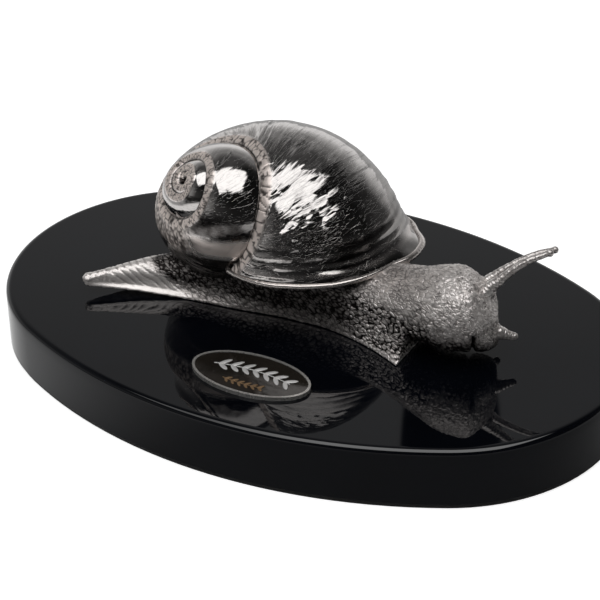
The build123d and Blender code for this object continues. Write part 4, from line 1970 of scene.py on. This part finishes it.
@dataclass
class Plinth:
    """The oval board with a mirror gloss.

    Its outline has four arcs: the ends' have end_radius, and the sides' follow from the half sizes. The wall
    is duller than the top, except towards the left end and along the front of the rounded edge.
    """

    half_length: float = 100.0 * MM
    half_width: float = 65.3 * MM
    end_radius: float = 54.3 * MM
    board_bottom: float = 2.0 * MM
    board_thick: float = 18.0 * MM
    edge_round: float = 1.8 * MM
    edge_steps: int = 7
    outline_steps: int = 288
    top_margin: float = 0.5 * MM
    wall_cuts: int = 5
    left_x: tuple = (84.0 * MM, 100.0 * MM)
    left_down: tuple = (3.0 * MM, 6.5 * MM)
    left_gloss: float = 2.6
    front_x: tuple = (0.0, 40.0 * MM)
    front_down: tuple = (1.6 * MM, 1.0 * MM)
    front_gloss: float = 1.4

    def outline(self, share: np.ndarray) -> np.ndarray:
        """Points of the oval of four arcs, by their share of the way round.

        Args:
            share: Shares from 0 to 1.

        Returns:
            Rows of X and Y in metres.
        """
        a, b, r = self.half_length, self.half_width, self.end_radius
        side = (a * a - 2.0 * a * r + b * b) / (2.0 * (b - r))
        end_x, side_y = a - r, b - side
        turn = np.arctan2(-side_y, end_x)
        angle = share * 2 * pi
        quarter = np.mod(angle, pi)
        on_end = np.minimum(quarter, pi - quarter) < turn
        x = np.where(on_end, np.sign(np.cos(angle)) * end_x + r * np.cos(angle), side * np.cos(angle))
        y = np.where(on_end, r * np.sin(angle), np.sign(np.sin(angle)) * side_y + side * np.sin(angle))
        return np.stack([x, y], axis=1)

    def dulled(self, at: np.ndarray) -> np.ndarray:
        """How dull the lacquer is: nought on top, one on the wall, less where it is polished more.

        Args:
            at: Rows of X, Y and Z in metres.

        Returns:
            One number for each row.
        """
        down = TOP_Z - at[:, 2]
        wall = 1.0 - step(at[:, 2], TOP_Z - self.edge_round, TOP_Z - 0.3 * MM)
        wall *= 1.0 - self.left_gloss * step(-at[:, 0], *self.left_x) * step(down, *self.left_down)
        lowest, highest = (TOP_Z - place for place in self.front_down)
        front = step(at[:, 0], *self.front_x) * (at[:, 1] < 0.0) * (down > 0.02 * MM)
        return wall - self.front_gloss * step(at[:, 2], lowest, highest) * front

    def board(self) -> bpy.types.Object:
        """The board, with a rounded edge and a margin that keeps the reflections on top level.

        Returns:
            The board.
        """
        deselect()
        bpy.ops.mesh.primitive_circle_add(vertices=self.outline_steps, radius=1.0, fill_type="NGON")
        board = bpy.context.object
        rename(board, "plinth_gloss")
        at = places(board)
        share = np.mod(np.arctan2(at[:, 1], at[:, 0]) / (2 * pi), 1.0)
        set_places(board, np.column_stack([self.outline(share), np.full(len(at), self.board_bottom)]))
        focus(board)
        bpy.ops.object.mode_set(mode="EDIT")
        bpy.ops.mesh.select_all(action="SELECT")
        bpy.ops.mesh.extrude_region_move(TRANSFORM_OT_translate={"value": (0.0, 0.0, self.board_thick)})
        bpy.ops.mesh.bevel(offset=self.edge_round, segments=self.edge_steps, affect="EDGES")
        bpy.ops.mesh.select_all(action="DESELECT")
        bpy.ops.mesh.select_mode(type="FACE")
        bpy.ops.object.mode_set(mode="OBJECT")
        for face in board.data.polygons:
            face.select = len(face.vertices) > 4
        bpy.ops.object.mode_set(mode="EDIT")
        bpy.ops.mesh.inset(thickness=self.top_margin)
        bpy.ops.mesh.select_all(action="DESELECT")
        bpy.ops.object.mode_set(mode="OBJECT")
        for edge in board.data.edges:
            low, high = sorted(board.data.vertices[number].co.z for number in edge.vertices)
            edge.select = high - low > 5.0 * MM
        bpy.ops.object.mode_set(mode="EDIT")
        bpy.ops.mesh.select_mode(type="EDGE")
        bpy.ops.mesh.subdivide(number_cuts=self.wall_cuts)
        bpy.ops.object.mode_set(mode="OBJECT")
        recalculate_normals(board)
        return board

    def build(self) -> bpy.types.Object:
        """Make the board and dress it.

        Returns:
            The board.
        """
        board = self.board()
        note(board, Trait.WALL, self.dulled(places(board)))
        smooth_shade(board, 30.0)
        paint(board, LacquerFinish("lacquer_black", walled=True).material())
        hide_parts("plinth_board")
        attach(board, "root")
        return board


def dress(node: str, material: bpy.types.Material) -> None:
    """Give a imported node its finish.

    Args:
        node: The node's name.
        material: The finish.
    """
    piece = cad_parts[node]
    if not piece.material_slots:
        piece.data.materials.append(material)
    for slot in piece.material_slots:
        slot.material = material


@dataclass(frozen=True)
class Studio:
    """Camera, floor and surroundings.

    Bearings and heights of the surroundings are in degrees, bearings from the camera's side and positive to
    its right. The sweep's level is that of its bearing times that of its height. The soft box's sides and
    ends are where directions meet a ceiling one unit up. The card is a dark patch that the top reflects.
    """

    azimuth: float = 30.137
    elevation: float = 31.603
    roll: float = -1.644
    distance: float = 693.02 * MM
    target: tuple = (-4.537 * MM, 2.365 * MM, TOP_Z)
    view: float = 15.0
    floor_size: float = 6.0
    floor_pale: float = 0.72
    floor_dark: float = 0.03
    floor_lift: float = 0.78
    floor_reach: tuple = (0.17, 0.30)
    floor_front: tuple = (-0.02, 0.08)
    side_glow: float = 0.55
    side_left: tuple = (0.04, 0.10)
    side_reach: tuple = (0.17, 0.24)
    sweep_round: tuple = (
        (-180.0, 1.0),
        (-150.0, 0.85),
        (-115.0, 0.42),
        (-75.0, 0.30),
        (-45.0, 0.04),
        (0.0, 0.01),
        (80.0, 0.01),
        (115.0, 0.07),
        (138.0, 0.70),
        (155.0, 0.95),
        (180.0, 1.0),
    )
    sweep_high: tuple = (
        (-90.0, 1.0),
        (12.0, 0.92),
        (20.0, 0.56),
        (27.0, 0.36),
        (33.0, 0.26),
        (38.0, 0.27),
        (44.0, 0.17),
        (52.0, 0.07),
    )
    box_sides: tuple = (-1.0, 0.62)
    box_ends: tuple = (-0.10, 1.0)
    box_soft: float = 0.05
    box_level: float = 1.7
    card_round: tuple = (173.9, 177.1)
    card_high: tuple = (33.0, 44.0)
    card_corner: float = 4.0
    card_edge: tuple = (0.85, 1.15)
    dim: float = 0.004

    def camera(self) -> None:
        """Set the camera at the photograph's angle."""
        turn, lift, roll = radians(self.azimuth), radians(self.elevation), radians(self.roll)
        back = Vector((sin(turn) * cos(lift), -cos(turn) * cos(lift), sin(lift)))
        level = Vector((cos(turn), sin(turn), 0.0))
        upright = back.cross(level)
        right = level * cos(roll) + upright * sin(roll)
        up = upright * cos(roll) - level * sin(roll)
        deselect()
        bpy.ops.object.camera_add()
        camera = bpy.context.object
        matrix = Matrix((right, up, back)).transposed().to_4x4()
        matrix.translation = Vector(self.target) + back * self.distance
        camera.matrix_world = matrix
        camera.data.sensor_fit = "HORIZONTAL"
        camera.data.angle = radians(self.view)
        camera.data.clip_start = 10.0 * MM
        bpy.context.scene.camera = camera

    def floor(self) -> None:
        """A pale floor with the object's shadow; the silver sees it dark in front and aglow at the left."""
        deselect()
        bpy.ops.mesh.primitive_plane_add(size=self.floor_size)
        floor = bpy.context.object
        floor.name = "floor"
        nodes = Nodes("floor_white")
        place = nodes.coordinates.outputs["Object"]
        reach = nodes.math("SQRT", nodes.vectors("DOT_PRODUCT", place, place))
        turn = radians(self.azimuth)
        front = nodes.vectors("DOT_PRODUCT", place, (sin(turn), -cos(turn), 0.0))
        left = nodes.vectors("DOT_PRODUCT", place, (-cos(turn), -sin(turn), 0.0))
        dark = nodes.math(
            "MULTIPLY", nodes.span(reach, *self.floor_reach), nodes.span(front, *self.floor_front)
        )
        nodes.set("Base Color", nodes.ramp(dark, ((0.0, self.floor_pale), (1.0, self.floor_dark))))
        nodes.set("Roughness", 0.9)
        nodes.set("Specular IOR Level", 0.0)
        nodes.set("Emission Color", (1.0, 1.0, 1.0, 1.0))
        glow = nodes.math(
            "MULTIPLY",
            nodes.span(left, *self.side_left, 0.0, self.side_glow),
            nodes.span(reach, *self.side_reach, 1.0, 0.0),
        )
        rays = nodes.tree.nodes.new("ShaderNodeLightPath")
        seen = nodes.mix(dark, self.floor_lift, 1.0)
        nodes.set("Emission Strength", nodes.mix(rays.outputs["Is Camera Ray"], glow, seen))
        floor.data.materials.append(nodes.material)

    def card(self, wiring: Wiring, bearing: Socket, height: Socket) -> Socket:
        """Nought on the dark card and one round it.

        Args:
            wiring: The world's wiring.
            bearing: The bearing's socket, as a share of a whole turn.
            height: The height's socket, as a share of half a turn.

        Returns:
            The level's socket.
        """
        card = 0.0
        sides = ((bearing, TURN, self.card_round), (height, 0.5 * TURN, self.card_high))
        for place, unit, (low, high) in sides:
            middle, half = 0.5 * (low + high) / unit + 0.5, 0.5 * (high - low) / unit
            out = wiring.math("ABSOLUTE", wiring.total((place, 1.0 / half), (1.0, -middle / half)))
            card = wiring.math("ADD", wiring.math("POWER", out, self.card_corner), card)
        return wiring.span(card, *self.card_edge)

    def soft_box(self, wiring: Wiring, right: Socket, front: Socket, up: Socket) -> Socket:
        """One inside the soft box overhead and nought outside it.

        Args:
            wiring: The world's wiring.
            right: The direction's part to the right.
            front: Its part towards the camera's side.
            up: Its part up.

        Returns:
            The level's socket.
        """
        soft = self.box_soft
        flat = wiring.math("MAXIMUM", up, 0.02)
        box = wiring.math("GREATER_THAN", up, 0.1)
        for part, (low, high) in ((right, self.box_sides), (front, self.box_ends)):
            place = wiring.math("DIVIDE", part, flat)
            box = wiring.math("MULTIPLY", box, wiring.span(place, low - soft, low + soft))
            box = wiring.math("MULTIPLY", box, wiring.span(place, high - soft, high + soft, 1.0, 0.0))
        return box

    def world(self) -> None:
        """White for the eye; for the silver a pale sweep behind, a wide soft box above and a dark front."""
        world = bpy.data.worlds.new("surroundings")
        bpy.context.scene.world = world
        world.use_nodes = True
        wiring = Wiring(world.node_tree)
        way = wiring.coordinates.outputs["Generated"]
        turn = radians(self.azimuth)
        right = wiring.vectors("DOT_PRODUCT", way, (cos(turn), sin(turn), 0.0))
        front = wiring.vectors("DOT_PRODUCT", way, (sin(turn), -cos(turn), 0.0))
        up = wiring.vectors("DOT_PRODUCT", way, (0.0, 0.0, 1.0))
        bearing = wiring.total((wiring.math("ARCTAN2", right, front), 0.5 / pi), (1.0, 0.5))
        height = wiring.total((wiring.math("ARCSINE", up), 1.0 / pi), (1.0, 0.5))
        rounded = tuple((angle / TURN + 0.5, level) for angle, level in self.sweep_round)
        raised = tuple((angle / (0.5 * TURN) + 0.5, level) for angle, level in self.sweep_high)
        sweep = wiring.math("MULTIPLY", wiring.ramp(bearing, rounded), wiring.ramp(height, raised))
        sweep = wiring.math("MULTIPLY", sweep, self.card(wiring, bearing, height))
        box = self.soft_box(wiring, right, front, up)
        lit = wiring.total((sweep, 1.0), (box, self.box_level), (1.0, self.dim))
        rays = wiring.tree.nodes.new("ShaderNodeLightPath")
        background = wiring.tree.nodes["Background"]
        background.inputs["Color"].default_value = (1.0, 1.0, 1.0, 1.0)
        wiring.feed(background.inputs["Strength"], wiring.mix(rays.outputs["Is Camera Ray"], lit, 1.0))

    def build(self) -> None:
        """Set the whole studio."""
        self.camera()
        self.floor()
        self.world()
        bpy.context.scene.view_settings.view_transform = "Standard"


def main() -> None:
    """Build the pieces in order and report each of them."""
    logging.basicConfig(level=logging.INFO, format="%(message)s")
    Studio().build()
    made = [Plinth().build(), Shell().build(), Body().build(), Sprig().build()]
    stalks = SilverFinish(
        "tentacle_silver",
        bright=(0.94, 0.90, 0.87),
        middle=(0.55, 0.51, 0.49),
        smooth=0.28,
        rough=0.45,
        metallic=0.8,
    ).material()
    made += [tentacle.build(stalks) for tentacle in TENTACLES]
    rim = SilverFinish(
        "badge_silver",
        bright=(0.66, 0.65, 0.63),
        middle=(0.45, 0.44, 0.42),
        dark=(0.16, 0.15, 0.15),
        metallic=0.6,
        worn_and_painted_light=False,
    )
    enamel = LacquerFinish("enamel_dark", colour=(0.012, 0.010, 0.008), roughness=0.06)
    dress("badge_plate", rim.material())
    dress("badge_field", enamel.material())
    dress("felt_pad", FeltFinish("felt_black").material())
    steel = TurnedFinish("fastener_steel", (0.5, 0.5, 0.51)).material()
    for node in ("foot_screws", "shell_screw", "screw_washers", "shell_dowel"):
        dress(node, steel)
    brass = TurnedFinish("fastener_brass", (0.72, 0.55, 0.28)).material()
    for node in ("foot_inserts", "shell_insert", "badge_pins"):
        dress(node, brass)
    for piece in made:
        LOG.info("%s: %d vertices", piece.name, len(piece.data.vertices))


if __name__ == "__main__":
    main()
